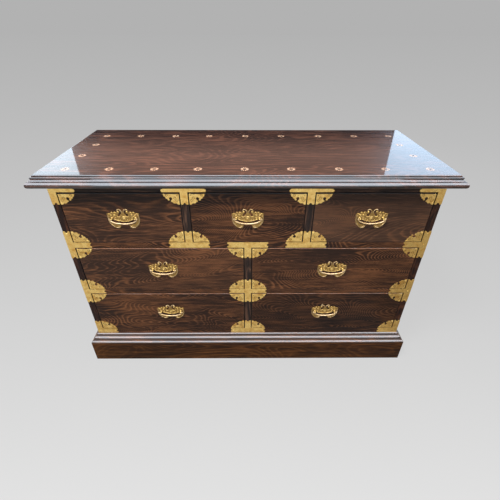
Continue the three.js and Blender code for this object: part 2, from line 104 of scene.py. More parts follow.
# A mount lies where a post meets a rail, on the post's part above the rail, below it, or both.
Mount = namedtuple("Mount", "node post rail above below")
MOUNTS = [
    Mount(f"mount_{name}_{side}", f"{post}_{side}", rail, above, below)
    for side in ("left", "right")
    for name, post, rail, above, below in (
        ("corner_top", "stile", "top", False, True),
        ("stile_upper", "stile", "upper", True, True),
        ("stile_lower", "stile", "lower", True, True),
        ("corner_bottom", "stile", "bottom", True, False),
        ("divider_head", "divider", "top", False, True),
        ("divider_foot", "divider", "upper", True, False),
    )
] + [
    Mount("mount_centre_head", "centre", "upper", False, True),
    Mount("mount_centre_cross", "centre", "lower", True, True),
    Mount("mount_centre_foot", "centre", "bottom", True, False),
]


# Settings


def linear(hex_colour):
    """An sRGB hex colour as linear red, green, blue and alpha."""
    shares = [int(hex_colour[i : i + 2], 16) / 255 for i in (1, 3, 5)]
    return [s / 12.92 if s <= 0.04045 else ((s + 0.055) / 1.055) ** 2.4 for s in shares] + [1.0]


def colour(name, description, hex_colour):
    return FloatVectorProperty(
        name=name, description=description, subtype="COLOR", size=4, min=0, max=1, default=linear(hex_colour)
    )


def number(name, description, default, **more):
    return FloatProperty(name=name, description=description, default=default, **more)


def distance(name, description, millimetres):
    return number(name, description, millimetres * MM, subtype="DISTANCE", unit="LENGTH", min=0)


def angle(name, description, degrees):
    return number(name, description, math.radians(degrees), subtype="ANGLE")


class ChestSizes(bpy.types.PropertyGroup):
    """Sizes of the details that the frame doesn't give."""

    brass: distance("Sheet brass", "Thickness of the medallion plates", 1)
    backplate: distance("Backplate", "Thickness of the handles' backplates", 1.4)
    arris: distance("Arris", "Rounding along the edges of the boards", 0.8)
    front_arris: distance("Fronts' arris", "Rounding along the edges of the drawer fronts", 1.3)
    brass_arris: distance("Brass arris", "Rounding along the edges of the brass plates", 0.5)
    frame_inset: distance("Frame inset", "How far the mounts stay back from the frame's edges", 0.4)
    front_inset: distance("Front inset", "How far the corner plates stay back from the fronts' edges", 1.2)
    # The upper drawers' top arris also reaches this far down, as a band of painted shadow under the top
    # rail.
    upper_inset: distance("Upper inset", "How far the upper drawers' plates stay below the eased edge", 2.6)
    # The pale arris that plates stay back from here is a painted highlight, partly wear.
    rubbed_inset: distance("Rubbed inset", "How far plates stay back from an edge that hands rub", 0.3)
    engraving: distance("Engraving", "Depth of the engraved lines", 0.45)
    engraving_width: distance("Engraving width", "Width of the engraved lines", 1.4)
    pin: distance("Pin head", "Radius of the pins' heads", 1.2)
    rosette: distance("Rosette", "Diameter of the rosettes in the top", 27)
    rosette_rise: distance("Rosette rise", "How far the rosettes stand out of the lacquer", 0.15)
    petals: IntProperty(name="Petals", description="Petals in each rosette", default=10, min=4, max=16)


class ChestFinish(bpy.types.PropertyGroup):
    """Colours of the finishes, as the eye sees them."""

    top_dark: colour("Top, dark grain", "Ground of the top's grain", "#170c08")
    top_light: colour("Top, light grain", "Light lines of the top's grain", "#5a382a")
    front_dark: colour("Fronts, dark grain", "Ground of the drawer fronts' grain", "#2d1b11")
    front_light: colour("Fronts, light grain", "Light lines of the drawer fronts' grain", "#8c5a38")
    plinth_dark: colour("Plinth, dark grain", "Ground of the plinth's grain", "#37200f")
    plinth_light: colour("Plinth, light grain", "Light lines of the plinth's grain", "#744824")
    stile_dark: colour("Stiles, dark grain", "Ground of the stiles' and sides' grain", "#24140e")
    stile_light: colour("Stiles, light grain", "Light lines of the stiles and sides", "#583523")
    frame_dark: colour("Dividers, dark grain", "Ground of the dividers' grain", "#2b201b")
    frame_light: colour("Dividers, light grain", "Light lines of the dividers", "#6b4d3c")
    # Painted highlight, partly wear: the paler colour of the lower fronts' upward arrises. Lighter boards
    # also blend towards it.
    worn: colour("Worn arris", "Wood where the stain is rubbed off the edges", "#705240")
    # Painted shade: the fronts' edges and side arrises, in the gaps round them, take this dark colour. It is
    # also the rosettes' own dark eyes.
    edge_dark: colour("Edges, dark grain", "Ground of the fronts' stained edges", "#120b08")
    box_dark: colour("Boxes, late wood", "Dark lines of the bare inside wood", "#8f6c44")
    box_light: colour("Boxes, early wood", "Light ground of the bare inside wood", "#c9aa7c")
    sheet_brass: colour("Sheet brass", "Polished plates", "#e8c577")
    sheet_shade: colour("Sheet brass, aged", "Duller patches of the plates", "#b98c46")
    cast_brass: colour("Cast brass", "Ground of the backplates", "#8a6c3c")
    raised_brass: colour("Raised brass", "Ornament that stands out of the backplates", "#ab8d4f")
    bail_brass: colour("Bail brass", "Bails, worn pale by hands", "#a08868")
    bail_shade: colour("Bail brass, aged", "Duller patches of the bails", "#8a6f48")
    # This is also the colour of the grime and painted shade in the handles' hollows.
    cast_shade: colour("Cast brass, aged", "Hollows of the handles", "#3d2a14")
    patina: colour("Patina", "Dirt in the engraved lines", "#5f421f")
    shell: colour("Shell", "Petals of the rosettes", "#b88c6c")


class ChestStage(bpy.types.PropertyGroup):
    """Camera, floor and light."""

    place: FloatVectorProperty(
        name="Camera", description="Where the camera stands", subtype="TRANSLATION", unit="LENGTH",
        default=(-0.00054, -1.14620, 1.14762),
    )
    heading: angle("Heading", "Turn to the right of straight ahead", 0.4835)
    tilt: angle("Tilt", "Turn below the horizon", 33.902)
    roll: angle("Roll", "Turn about the line of sight", 0.194)
    half_width: number("Half width", "Half the picture's width at one unit of distance", 0.750364, min=0.01)
    near_floor: colour("Near floor", "Floor at the front of the picture", "#dbdbdb")
    far_floor: colour("Far floor", "Floor and backdrop at the back of the picture", "#b2b2b2")
    bounce: colour("Bounce", "Floor as it throws light back at the object", "#6a6866")
    ambient: number("Ambient", "Strength of the light from all round", 0.28, min=0)
    key: number("Key", "Power of the soft light above", 100, min=0, subtype="POWER", unit="POWER")
    overhead: number("Overhead", "Strength of the box that the mouldings mirror", 12, min=0)


# Materials

BLACK = (0, 0, 0, 1)


def blend(a, b, share):
    return [x + (y - x) * share for x, y in zip(a, b)]


def add_node(tree, kind, inputs=(), stops=(), out=0, **settings):
    """Adds a node with its settings and returns one of its outputs, if it has any. inputs holds values and
    other nodes' outputs, by socket or in order. stops holds a ramp's places and colours, or numbers for
    greys."""
    made = tree.nodes.new("ShaderNode" + kind)
    for name, value in settings.items():
        setattr(made, name, value)
    for socket, value in inputs.items() if isinstance(inputs, dict) else enumerate(inputs):
        if isinstance(value, bpy.types.NodeSocket):
            tree.links.new(value, made.inputs[socket])
        else:
            made.inputs[socket].default_value = value
    if stops:
        ramp = made.color_ramp
        while len(ramp.elements) < len(stops):
            ramp.elements.new(1)
        for element, (place, shade) in zip(ramp.elements, stops):
            element.position = place
            element.color = (shade, shade, shade, 1) if isinstance(shade, float) else shade
    return made.outputs[out] if made.outputs else None


def painted(name, shader, *settings):
    """The material of a name. The first time, the function shader adds its nodes from these settings."""
    if name not in bpy.data.materials:
        material = bpy.data.materials.new(name)
        material.use_nodes = True
        material.node_tree.nodes.clear()
        add = partial(add_node, material.node_tree)
        add("OutputMaterial", [shader(add, *settings)])
    return bpy.data.materials[name]


# The finishes over the stain: coat, coat roughness, roughness and specular level. Gloss lacquer mirrors the
# room, satin and matt lacquer keep a faint sheen, the worn arris with its painted highlight shines softly,
# and bare wood stays dull.
GLOSS = (1.0, 0.04, 0.4, 0.15)
SATIN = (0.08, 0.12, 0.5, 0.08)
MATT = (0.03, 0.2, 0.6, 0.05)
RUBBED = (0.45, 0.15, 0.5, 0.1)
BARE = (0.0, 0.3, 0.75, 0.2)

# A wood: its dark and its light tone, the growth rings across the widest pattern, their contrast and the
# streaks' strength, the way the grain runs, where the board was cut from the tree, in metres, its finish,
# and how much lighter than its tones the board is, or darker if less than zero.
Wood = namedtuple("Wood", "dark light rings contrast streaks grain board finish change", defaults=[0])
FRONT = ("front_dark", "front_light", 95, 0.54, 0.2)
PLINTH = ("plinth_dark", "plinth_light", 55, 0.4, 0.26)
DIVIDER = ("frame_dark", "frame_light", 24, 0.6, 0.3)
BOX = ("box_dark", "box_light", 16, 0.7, 0.2)
WOODS = {
    "lacquered_elm_top": Wood("top_dark", "top_light", 30, 0.55, 0.45, "X", (0.3, 0.1, 0), GLOSS),
    # Painted shade for the fronts' edges in the gaps, and the rosettes' own dark eyes.
    "stained_elm_edge": Wood("edge_dark", "front_dark", 18, 0.6, 0.3, "X", (0.3, 0.1, 0.4), BARE),
    # The fronts' upward arrises: a painted highlight, partly wear.
    "rubbed_elm_arris": Wood("front_light", "worn", 18, 0.6, 0.3, "X", (0.3, 0.1, 0.4), RUBBED),
    "satin_elm_plinth_face": Wood(*PLINTH, "X", (2.3, 0.4, 0.7), MATT),
    "lacquered_elm_plinth_front": Wood(*PLINTH, "X", (1.3, 0.4, 0.7), GLOSS),
    "lacquered_elm_plinth_side": Wood(*PLINTH, "Y", (0.6, 0.4, 0.2), GLOSS),
    "satin_elm_rail": Wood(*FRONT, "X", (4.2, 0.2, 0.3), SATIN),
    "satin_elm_top_rail": Wood(*DIVIDER, "X", (2.2, 0.2, 0.6), SATIN),
    "satin_elm_divider": Wood(*DIVIDER, "Z", (1.4, 0.8, 0.1), SATIN),
    "satin_elm_side": Wood("stile_dark", "stile_light", 24, 0.6, 0.3, "Z", (0.4, 0.8, 0.1), SATIN),
    "bare_pine_back": Wood(*BOX, "X", (0.9, 0.2, 0.1), BARE),
    "bare_pine_box": Wood(*BOX, "Y", (0.5, 0.2, 0.8), BARE),
} | {
    "satin_elm_front_" + drawer: Wood(*FRONT, "X", board, SATIN, change)
    for drawer, board, change in (
        ("upper_left", (1.4, 7.2, 1.2), 0.1), ("upper_centre", (0.6, 2.7, 5.4), 0),
        ("upper_right", (0.0, 6.1, 3.0), 0.38), ("middle_left", (2.8, 7.4, 4.3), 0.12),
        ("middle_right", (4.2, 2.2, 4.9), 0.04), ("lower_left", (5.2, 0.1, 2.0), 0.02),
        ("lower_right", (6.7, 7.6, 0.2), -0.44),
    )
}


def stained_wood(add, wood):
    """Open-grained hardwood, cut plain: each growth ring shows as a light line on a dark ground, and the
    lines close to long arches. Short dark pores follow the grain. Lacquer over the stain gives a clear
    reflection."""
    finish = bpy.context.scene.chest_finish
    # Lighter boards blend towards the pale arris colour, and darker ones towards black.
    towards = finish.worn if wood.change > 0 else BLACK
    tones = (getattr(finish, tone) for tone in (wood.dark, wood.light))
    dark, light = (blend(tone, towards, abs(wood.change)) for tone in tones)
    along = "XYZ".index(wood.grain)
    place = add("TexCoord", out="Object")

    def pattern(stretch, scale, detail, distortion=0.0, apart=0):
        """Noise that is drawn out along the grain."""
        drawn = [1 / stretch if axis == along else 1 for axis in range(3)]
        cut = [start + apart for start in wood.board]
        vector = add("Mapping", {"Vector": place, "Scale": drawn, "Location": cut})
        noise = {"Vector": vector, "Scale": scale, "Detail": detail, "Distortion": distortion}
        return add("TexNoise", noise | {"Roughness": 0.55})

    # Arches about 180 mm wide and three times as long, a ring every 3 to 6 mm, and a wobble of a fifth of
    # a ring.
    rings = add("Math", [pattern(3.4, 5.5, 1.0, 0.5), wood.rings], operation="MULTIPLY")
    wobbly = add("Math", [pattern(9, 95.0, 3.0), 0.6, rings], operation="MULTIPLY_ADD")
    ring = add("Math", [wobbly], operation="FRACT")
    line = add("ValToRGB", [ring], [(0, 0.0), (0.35, 0.05), (0.6, 0.8), (0.72, 1.0), (0.84, 0.15), (1, 0.0)])
    # Lines that come and go, fibres 1.5 mm and streaks 9 mm wide, and patches of deeper stain a hand wide.
    strength = add("MapRange", [pattern(5, 16.0, 2.0, apart=3), 0.35, 0.65, 0.45, 1.1])
    fibres = add("MapRange", [pattern(25, 700.0, 3.0), 0.3, 0.7, -0.25, 0.25])
    streaks = add("MapRange", [pattern(13, 115.0, 3.0, apart=9), 0.32, 0.68, -wood.streaks, wood.streaks])
    stain = add("MapRange", [pattern(2.5, 8.0, 3.0, apart=7), 0.3, 0.7, -0.05, 0.5])
    base = add("Math", [add("Math", [fibres, streaks], operation="ADD"), stain], operation="ADD")
    contrast = add("Math", [strength, wood.contrast], operation="MULTIPLY")
    tone = add("Math", [line, contrast, base], operation="MULTIPLY_ADD")
    ground = add("ValToRGB", [tone], [(0, blend(dark, BLACK, 0.3)), (0.2, dark), (0.9, light)])
    # Pores half a millimetre wide and 12 mm long.
    pores = add("MapRange", [pattern(22, 1500.0, 1.0, apart=5), 0.56, 0.66, 0.0, 0.6])
    shaded = add("Mix", {0: pores, 6: ground, 7: dark}, out=2, data_type="RGBA")
    height = add("Math", [tone, pores], operation="SUBTRACT")
    bump = add("Bump", {"Height": height, "Strength": 0.3, "Distance": 0.12 * MM})
    coat, coat_roughness, roughness, specular = wood.finish
    return add("BsdfPrincipled", {
        "Base Color": shaded, "Roughness": roughness, "Specular IOR Level": specular, "Normal": bump,
        "Coat Weight": coat, "Coat Roughness": coat_roughness,
    })


# Each brass: its ground and its duller patches, their size in millimetres, its roughness, and how far into
# the hollows grime and painted shade are looked for, in millimetres. Sheet gleams, patina darkens the
# engraved lines, and the castings are dull with grime and painted shade in their hollows, and paler where
# hands have rubbed them.
BRASSES = {
    "polished_sheet_brass": ("sheet_brass", "sheet_shade", 18, 0.3, 0),
    "brass_with_patina": ("patina", "cast_shade", 12, 0.5, 0),
    "cast_brass": ("cast_brass", "cast_shade", 6, 0.42, 2.5),
    "cast_brass_rubbed": ("raised_brass", "bail_shade", 7, 0.42, 0),
    "cast_brass_worn_bright": ("bail_brass", "bail_shade", 9, 0.48, 0),
}


def aged_brass(add, ground, duller, patch, roughness, hollows):
    """Brass, polished and then left to age: bright ground, duller and redder patches where the lacquer has
    gone, grime and painted shade in the hollows of castings, and a surface that isn't quite flat, so that
    reflections waver."""
    finish = bpy.context.scene.chest_finish
    place = add("TexCoord", out="Object")
    patches = add("TexNoise", {"Vector": place, "Scale": 1 / (patch * MM), "Detail": 5.0, "Roughness": 0.65})
    aged = add("MapRange", [patches, 0.4, 0.68])
    if hollows:
        # Painted shade: ambient occlusion darkens the castings' hollows, together with their grime.
        open_air = add("AmbientOcclusion", {"Distance": hollows * MM}, out="AO", samples=8)
        grime_and_shade = add("MapRange", [open_air, 0.85, 0.35, 0.0, 1.0])
        aged = add("Math", [aged, 0.35, grime_and_shade], operation="MULTIPLY_ADD", use_clamp=True)
    tones = {0: aged, 6: getattr(finish, ground), 7: getattr(finish, duller)}
    tint = add("Mix", tones, out=2, data_type="RGBA")
    sheen = add("MapRange", [patches, 0.3, 0.7, roughness * 0.8, roughness * 1.35])
    # Dents about 6 mm across from the hammer and the polishing cloth, and brushing 0.4 mm apart.
    dents = add("TexNoise", {"Vector": place, "Scale": 160.0, "Detail": 1.5, "Roughness": 0.5})
    brushing = add("TexNoise", {"Vector": place, "Scale": 2500.0, "Detail": 1.0, "Roughness": 0.5})
    height = add("Math", [brushing, 0.06, dents], operation="MULTIPLY_ADD")
    bump = add("Bump", {"Height": height, "Strength": 0.6, "Distance": 0.8 * MM})
    return add("BsdfPrincipled", {"Base Color": tint, "Metallic": 1.0, "Roughness": sheen, "Normal": bump})


def mother_of_pearl(add):
    """Polished shell: a pale ground in which thin layers turn pink, peach and green. It lies under the
    lacquer of the top, so it has little gloss of its own."""
    ground = tuple(bpy.context.scene.chest_finish.shell)
    peach, green = blend(ground, linear("#e7b59a"), 0.7), blend(ground, linear("#d5dccb"), 0.6)
    # Layers 3 mm wide.
    place = add("TexCoord", out="Object")
    layers = add("TexNoise", {"Vector": place, "Scale": 320.0, "Detail": 2.0, "Distortion": 1.5})
    tint = add("ValToRGB", [layers], [(0.3, peach), (0.5, ground), (0.68, green)])
    return add("BsdfPrincipled", {
        "Base Color": tint, "Roughness": 0.3, "Specular IOR Level": 0.1,
        "Coat Weight": 0.6, "Coat Roughness": 0.05,
    })


def surface(name):
    """The material of a piece, by its name."""
    if name in WOODS:
        return painted(name, stained_wood, WOODS[name])
    if name in BRASSES:
        return painted(name, aged_brass, *BRASSES[name])
    return painted(name, mother_of_pearl)


# Shapes

# From this angle up, an edge looks sharp.
CREASE = math.radians(35)
# A vertex this near to a cut counts as on it, in metres.
CUT_REACH = 1e-7
# Turned vertices this near to each other are one, in metres.
JOIN_REACH = 1e-6
# The faces of a plate that lie in its engraved lines have the second material.
ENGRAVED = 1
# A pin's head stands out by this share of its radius.
PIN_RISE = 0.55
# A sheet's edges are rounded where they turn by more than this.
RIM_ANGLE = math.radians(60)
# An engraved line's width beside its ends, as a share of the full width, and how fast it grows from there.
TIP_WIDTH, TIP_GROWTH = 0.35, 2.2
# A raised line's width and rise at its ends, as a share of the full ones.
BEAD_END = 0.3


def linked(name, data):
    """Puts a mesh, a camera or a light in the scene as an object."""
    made = bpy.data.objects.new(name, data)
    bpy.context.scene.collection.objects.link(made)
    return made


def added(bm, name, materials):
    """Makes a bmesh an object of the scene and frees the bmesh."""
    mesh = bpy.data.meshes.new(name)
    bm.to_mesh(mesh)
    bm.free()
    for material in materials:
        mesh.materials.append(material)
    return linked(name, mesh)


def finished(bm, name, surfaces, body, node=None):
    """Makes a bmesh a smooth-shaded piece with creases and puts it on its body."""
    bmesh.ops.recalc_face_normals(bm, faces=bm.faces[:])
    piece = added(bm, name, [surface(each) for each in surfaces])
    piece.data.shade_smooth()
    piece.data.set_sharp_from_angle(angle=CREASE)
    level = piece.modifiers.new("Flat faces", "WEIGHTED_NORMAL")
    level.weight = 50
    level.keep_sharp = True
    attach(piece, body)
    if node:
        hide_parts(node)


def shift(bm, vec):
    bmesh.ops.translate(bm, verts=bm.verts[:], vec=vec)


def split(bm, place, normal, **more):
    """Cuts a mesh along the plane through a place and square to a normal."""
    parts = bm.verts[:] + bm.edges[:] + bm.faces[:]
    bmesh.ops.bisect_plane(bm, geom=parts, dist=CUT_REACH, plane_co=place, plane_no=normal, **more)


def middle(span):
    return (span.low + span.high) / 2


def made_verts(result):
    """The vertices among the geometry that an operator returns."""
    return [part for part in result["geom"] if isinstance(part, bmesh.types.BMVert)]


def pulled(bm, faces):
    """Extrudes faces and returns their copies' vertices. The faces themselves go, unless they are alone."""
    edges = {edge for face in faces for edge in face.edges}
    return made_verts(bmesh.ops.extrude_face_region(bm, geom=[*faces, *edges]))


def arc(centre, radius, start, end, steps):
    """Points along a circular arc, from one angle in degrees to another."""
    turns = [math.radians(start + (end - start) * step / steps) for step in range(steps + 1)]
    return [(centre[0] + radius * math.cos(turn), centre[1] + radius * math.sin(turn)) for turn in turns]


def trace(start, curves, steps):
    """Points along quadratic curves, each of which is its control point and its end point."""
    points = [Vector(start)]
    for control_x, control_z, end_x, end_z in curves:
        first, control, last = points[-1], Vector((control_x, control_z)), Vector((end_x, end_z))
        for step in range(1, steps + 1):
            share = step / steps
            points.append(first.lerp(control, share).lerp(control.lerp(last, share), share))
    return points


def spiral(centre, start_radius, end_radius, start, turns, steps):
    """Points that wind in to a centre, from an angle in degrees and over a number of turns."""
    points = []
    for step in range(steps + 1):
        share = step / steps
        radius = start_radius + (end_radius - start_radius) * share
        turn = math.radians(start + 360 * turns * share)
        points.append(Vector((centre[0] + radius * math.cos(turn), centre[1] + radius * math.sin(turn))))
    return points


def line_loop(points, width):
    """The outline of an engraved line along a path, narrowing to a point at both ends."""
    left, right = [], []
    last = len(points) - 1
    for i, point in enumerate(points[1:-1], 1):
        run = (points[i + 1] - points[i - 1]).normalized()
        half = width / 2 * min(1, TIP_WIDTH + TIP_GROWTH * min(i, last - i) / last)
        side = Vector((-run.y, run.x)) * half
        left.append(point + side)
        right.append(point - side)
    return [points[0], *left, points[-1], *reversed(right)]


def add_loop(bm, points):
    """Closes points in X and Z to a loop and returns its edges."""
    verts = [bm.verts.new((x, 0, z)) for x, z in points]
    return [bm.edges.new(ends) for ends in zip(verts, verts[1:] + verts[:1])]


def sheet_from(outline, holes, lines):
    """A flat sheet in X and Z that faces -Y, with open holes and with faces of their own for its lines."""
    bm = bmesh.new()
    border = [edge for loop in (outline, *holes) for edge in add_loop(bm, loop)]
    engraved = [add_loop(bm, line) for line in lines]
    every = border + [edge for loop in engraved for edge in loop]
    fill = partial(bmesh.ops.triangle_fill, bm, use_beauty=True, use_dissolve=False, normal=-DEPTH)
    fill(edges=every)
    for loop in engraved:
        for part in fill(edges=loop)["geom"]:
            if isinstance(part, bmesh.types.BMFace):
                part.material_index = ENGRAVED
    return bm


def cut_sheet(sheet, cuts, keep):
    """A copy of a sheet, parted along upright and level cuts, of which only what keep accepts stays."""
    bm = sheet.copy()
    for normal, place in cuts:
        split(bm, normal * place, normal)
    waste = [face for face in bm.faces if not keep(face.calc_center_median())]
    bmesh.ops.delete(bm, geom=waste, context="FACES")
    return bm


def thicken(bm, thickness, arris, engraving):
    """Gives a flat sheet its back and its edges, rounds the front edges and sinks the engraved lines."""
    flat = bm.faces[:]
    lines = [face for face in flat if face.material_index == ENGRAVED]
    bmesh.ops.translate(bm, verts=pulled(bm, flat), vec=DEPTH * thickness)
    bmesh.ops.recalc_face_normals(bm, faces=bm.faces[:])
    if lines:
        bmesh.ops.translate(bm, verts=pulled(bm, lines), vec=DEPTH * engraving)
    near = arris / 10

    def in_front_or_through(face):
        depth = face.calc_center_median().y
        return depth < near or depth > thickness / 2 - near

    rim = [
        edge for edge in bm.edges
        if all(abs(vert.co.y) < near for vert in edge.verts) and edge.calc_face_angle(0) > RIM_ANGLE
        and all(in_front_or_through(face) for face in edge.link_faces)
    ]
    bmesh.ops.bevel(
        bm, geom=rim, offset=arris, offset_type="OFFSET", clamp_overlap=True, segments=2, profile=0.5,
        affect="EDGES", material=-1,
    )


def dome(bm, x, z, half_wide, rise, half_high):
    """A low dome on a plate's face."""
    place = Matrix.Translation((x, 0, z)) @ Matrix.Diagonal((half_wide, rise, half_high, 1))
    bmesh.ops.create_icosphere(bm, subdivisions=2, radius=1, matrix=place)


def turned(bm, profile, centre, axis, steps):
    """Turns a profile of radii and places, in millimetres, about an axis through a point, as on a lathe."""
    side = UP if abs(axis.dot(UP)) < 0.5 else RIGHT
    verts = [bm.verts.new(centre + (side * radius + axis * along) * MM) for radius, along in profile]
    edges = [bm.edges.new(ends) for ends in zip(verts, verts[1:])]
    bmesh.ops.spin(
        bm, geom=verts + edges, cent=centre, axis=axis, angle=2 * math.pi, steps=steps, use_merge=True,
        dvec=(0, 0, 0),
    )
    bmesh.ops.remove_doubles(bm, verts=bm.verts[:], dist=JOIN_REACH)


def sweep(bm, stations, sides):
    """Joins flattened rings along a path in an upright plane. A station is its place, its direction and its
    half width across the path and along the depth."""
    rings = []
    for place, along, wide, deep in stations:
        along = along.normalized()
        across = along.cross(DEPTH)
        turn = Matrix((across * wide, DEPTH * deep, along)).transposed().to_4x4()
        made = bmesh.ops.create_circle(bm, segments=sides, radius=1, matrix=Matrix.Translation(place) @ turn)
        rings.append(list({edge for vert in made["verts"] for edge in vert.link_edges}))
    for ring, following in zip(rings, rings[1:]):
        bmesh.ops.bridge_loops(bm, edges=ring + following)
    for ring in (rings[0], rings[-1]):
        bmesh.ops.edgeloop_fill(bm, edges=ring)


def bead(bm, points, radius, rise):
    """A raised line along a path on a plate's face, narrowing at both ends."""
    stations = []
    last = len(points) - 1
    for i, point in enumerate(points):
        run = points[min(i + 1, last)] - points[max(i - 1, 0)]
        swell = BEAD_END + (1 - BEAD_END) * math.sin(math.pi * i / last) ** 0.5
        place, along = Vector((point.x, 0, point.y)), Vector((run.x, 0, run.y))
        stations.append((place, along, radius * swell, rise * swell))
    sweep(bm, stations, sides=8)


def run_of_moulding(profile, start, end):
    """A length of moulding between two mitres. A profile point is how far it stands out and how high it
    lies, and an end is its place in plan and how the plan moves for each unit that a point stands out."""

    def spot(stop, out, high):
        x, y, out_x, out_y = stop
        return Vector((x + out_x * out, y + out_y * out, high))

    bm = bmesh.new()
    section = bm.faces.new([bm.verts.new(spot(start, *point)) for point in profile])
    for vert in made_verts(bmesh.ops.extrude_face_region(bm, geom=[section], use_keep_orig=True)):
        nearest = min(profile, key=lambda point: (spot(start, *point) - vert.co).length)
        vert.co = spot(end, *nearest)
    bmesh.ops.recalc_face_normals(bm, faces=bm.faces[:])
    return bm


# Carcass

# The woods of the pieces that keep their CAD shapes, by how the nodes' names begin.
CARCASS_WOODS = {
    "side_": "satin_elm_side", "partition_": "satin_elm_divider", "frame_top": "satin_elm_top_rail",
    "frame_": "satin_elm_rail", "rail_": "satin_elm_rail", "plinth_back": "bare_pine_back",
    "back_panel": "bare_pine_back", "floor_panel": "bare_pine_box", "drawer_box_": "bare_pine_box",
}
# Their vertices are joined when they are this near, and their edges are eased from this angle up.
WELD_REACH, EASE_ANGLE = 0.01 * MM, math.radians(40)


class CHEST_OT_carcass(bpy.types.Operator):
    """Finish the carcass, the web frames and the drawer boxes, which keep their CAD shapes"""

    bl_idname = "chest.carcass"
    bl_label = "Carcass and boxes"

    def execute(self, context):
        for name, node in frame["nodes"].items():
            wood = next((wood for start, wood in CARCASS_WOODS.items() if name.startswith(start)), None)
            if not wood:
                continue
            node.data.materials.clear()
            node.data.materials.append(surface(wood))
            weld = node.modifiers.new("Weld", "WELD")
            weld.merge_threshold = WELD_REACH
            rounding = node.modifiers.new("Arris", "BEVEL")
            rounding.width = context.scene.chest_sizes.arris / 2
            rounding.segments = 2
            rounding.limit_method = "ANGLE"
            rounding.angle_limit = EASE_ANGLE
            rounding.harden_normals = False
        return {"FINISHED"}


# Top

# The sizes of the top's moulded edge, in millimetres: bullnose, cove, bead and fillet. Setbacks are from the
# outermost line.
NOSE_RADIUS, NOSE_QUIRK, COVE_RADIUS, COVE_SETBACK = 10, 1, 7, 7.5
BEAD_RADIUS, BEAD_SINK, FILLET_SETBACK, FILLET_HEIGHT, TOP_ARRIS = 2.8, 0.65, 18.6, 5, 3
# The moulding is first run round all four sides, this far past the back in millimetres, and then cut off.
PAST_BACK = 60


def top_edge(thickness):
    """The top's edge from the underside up: how far each point stands out, and its height."""
    nose_turn = math.degrees(math.acos((NOSE_RADIUS - COVE_SETBACK + NOSE_QUIRK) / NOSE_RADIUS))
    cove_foot = NOSE_RADIUS * (1 + math.sin(math.radians(nose_turn)))
    cove_top = cove_foot + COVE_RADIUS
    bead_centre = -COVE_SETBACK - COVE_RADIUS - BEAD_RADIUS * BEAD_SINK
    fillet_foot = thickness - FILLET_HEIGHT
    return [
        *arc((-NOSE_RADIUS, NOSE_RADIUS), NOSE_RADIUS, -90, nose_turn, 16),
        *arc((-COVE_SETBACK, cove_top), COVE_RADIUS, -90, -180, 9),
        *arc((bead_centre, fillet_foot - BEAD_RADIUS), BEAD_RADIUS, -55, 90, 9),
        (-FILLET_SETBACK, fillet_foot),
        *arc((-FILLET_SETBACK - TOP_ARRIS, thickness - TOP_ARRIS), TOP_ARRIS, 0, 90, 5),
    ]


class CHEST_OT_top(bpy.types.Operator):
    """Make the top board with its moulded edge, flush at the back"""

    bl_idname = "chest.top"
    bl_label = "Top board"

    def execute(self, context):
        low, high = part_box("top_board")
        thickness = high.z - low.z - context.scene.chest_sizes.rosette_rise
        profile = [(out * MM, low.z + up * MM) for out, up in top_edge(thickness / MM)]

        def corners(out, level):
            left, right, back = low.x - out, high.x + out, high.y + PAST_BACK * MM
            plan = ((left, low.y - out), (right, low.y - out), (right, back), (left, back))
            return [Vector((x, y, level)) for x, y in plan]

        bm = bmesh.new()
        top = bm.faces.new([bm.verts.new(corner) for corner in corners(*profile[0])])
        for out, level in profile[1:]:
            verts = pulled(bm, [top])
            for vert in verts:
                vert.co = min(corners(out, level), key=lambda corner: (corner - vert.co).length)
            top = next(face for face in verts[0].link_faces if all(vert in verts for vert in face.verts))
        split(bm, DEPTH * high.y, DEPTH, clear_outer=True)
        bmesh.ops.holes_fill(bm, edges=bm.edges[:], sides=0)
        finished(bm, "top_slab", ["lacquered_elm_top"], CARCASS, "top_board")
        return {"FINISHED"}


# Where the rosettes lie in the top, in millimetres.
ROSETTE_COLUMNS = (-541, -411, -277, -148, -9, 129, 272, 411, 545)
ROSETTE_ROWS = (-190, 168)
ROSETTE_SIDE_ROWS = (-67, 53)
# Shares of a rosette's radius: how far out its petals lie, their half length and half width, and its eye.
PETAL_PLACE, PETAL_LENGTH, PETAL_WIDTH, EYE = 0.68, 0.31, 0.185, 0.2
# How much of its width each still has at the top.
PETAL_TOP, EYE_TOP = 0.9, 0.85


class CHEST_OT_rosettes(bpy.types.Operator):
    """Let the shell rosettes into the top"""

    bl_idname = "chest.rosettes"
    bl_label = "Rosettes"

    def execute(self, context):
        sizes = context.scene.chest_sizes
        radius, rise = sizes.rosette / 2, sizes.rosette_rise
        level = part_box("top_board")[1].z - rise
        places = [(x, y) for x in ROSETTE_COLUMNS for y in ROSETTE_ROWS]
        places += [(x, y) for x in (ROSETTE_COLUMNS[0], ROSETTE_COLUMNS[-1]) for y in ROSETTE_SIDE_ROWS]
        leaf = Matrix.Translation((radius * PETAL_PLACE, 0, 0)) @ Matrix.Diagonal(
            (radius * PETAL_LENGTH, radius * PETAL_WIDTH, rise, 1)
        )
        hub = Matrix.Diagonal((radius * EYE, radius * EYE, rise, 1))
        petals, eyes = bmesh.new(), bmesh.new()
        disc = partial(bmesh.ops.create_cone, cap_ends=True, radius1=1, depth=2)
        for x, y in places:
            centre = Matrix.Translation((x * MM, y * MM, level))
            for petal in range(sizes.petals):
                turn = Matrix.Rotation(2 * math.pi * petal / sizes.petals, 4, "Z")
                disc(petals, segments=10, radius2=PETAL_TOP, matrix=centre @ turn @ leaf)
            disc(eyes, segments=16, radius2=EYE_TOP, matrix=centre @ hub)
        finished(petals, "rosette_petals", ["mother_of_pearl"], CARCASS)
        finished(eyes, "rosette_eyes", ["stained_elm_edge"], CARCASS)
        return {"FINISHED"}


# Plinth

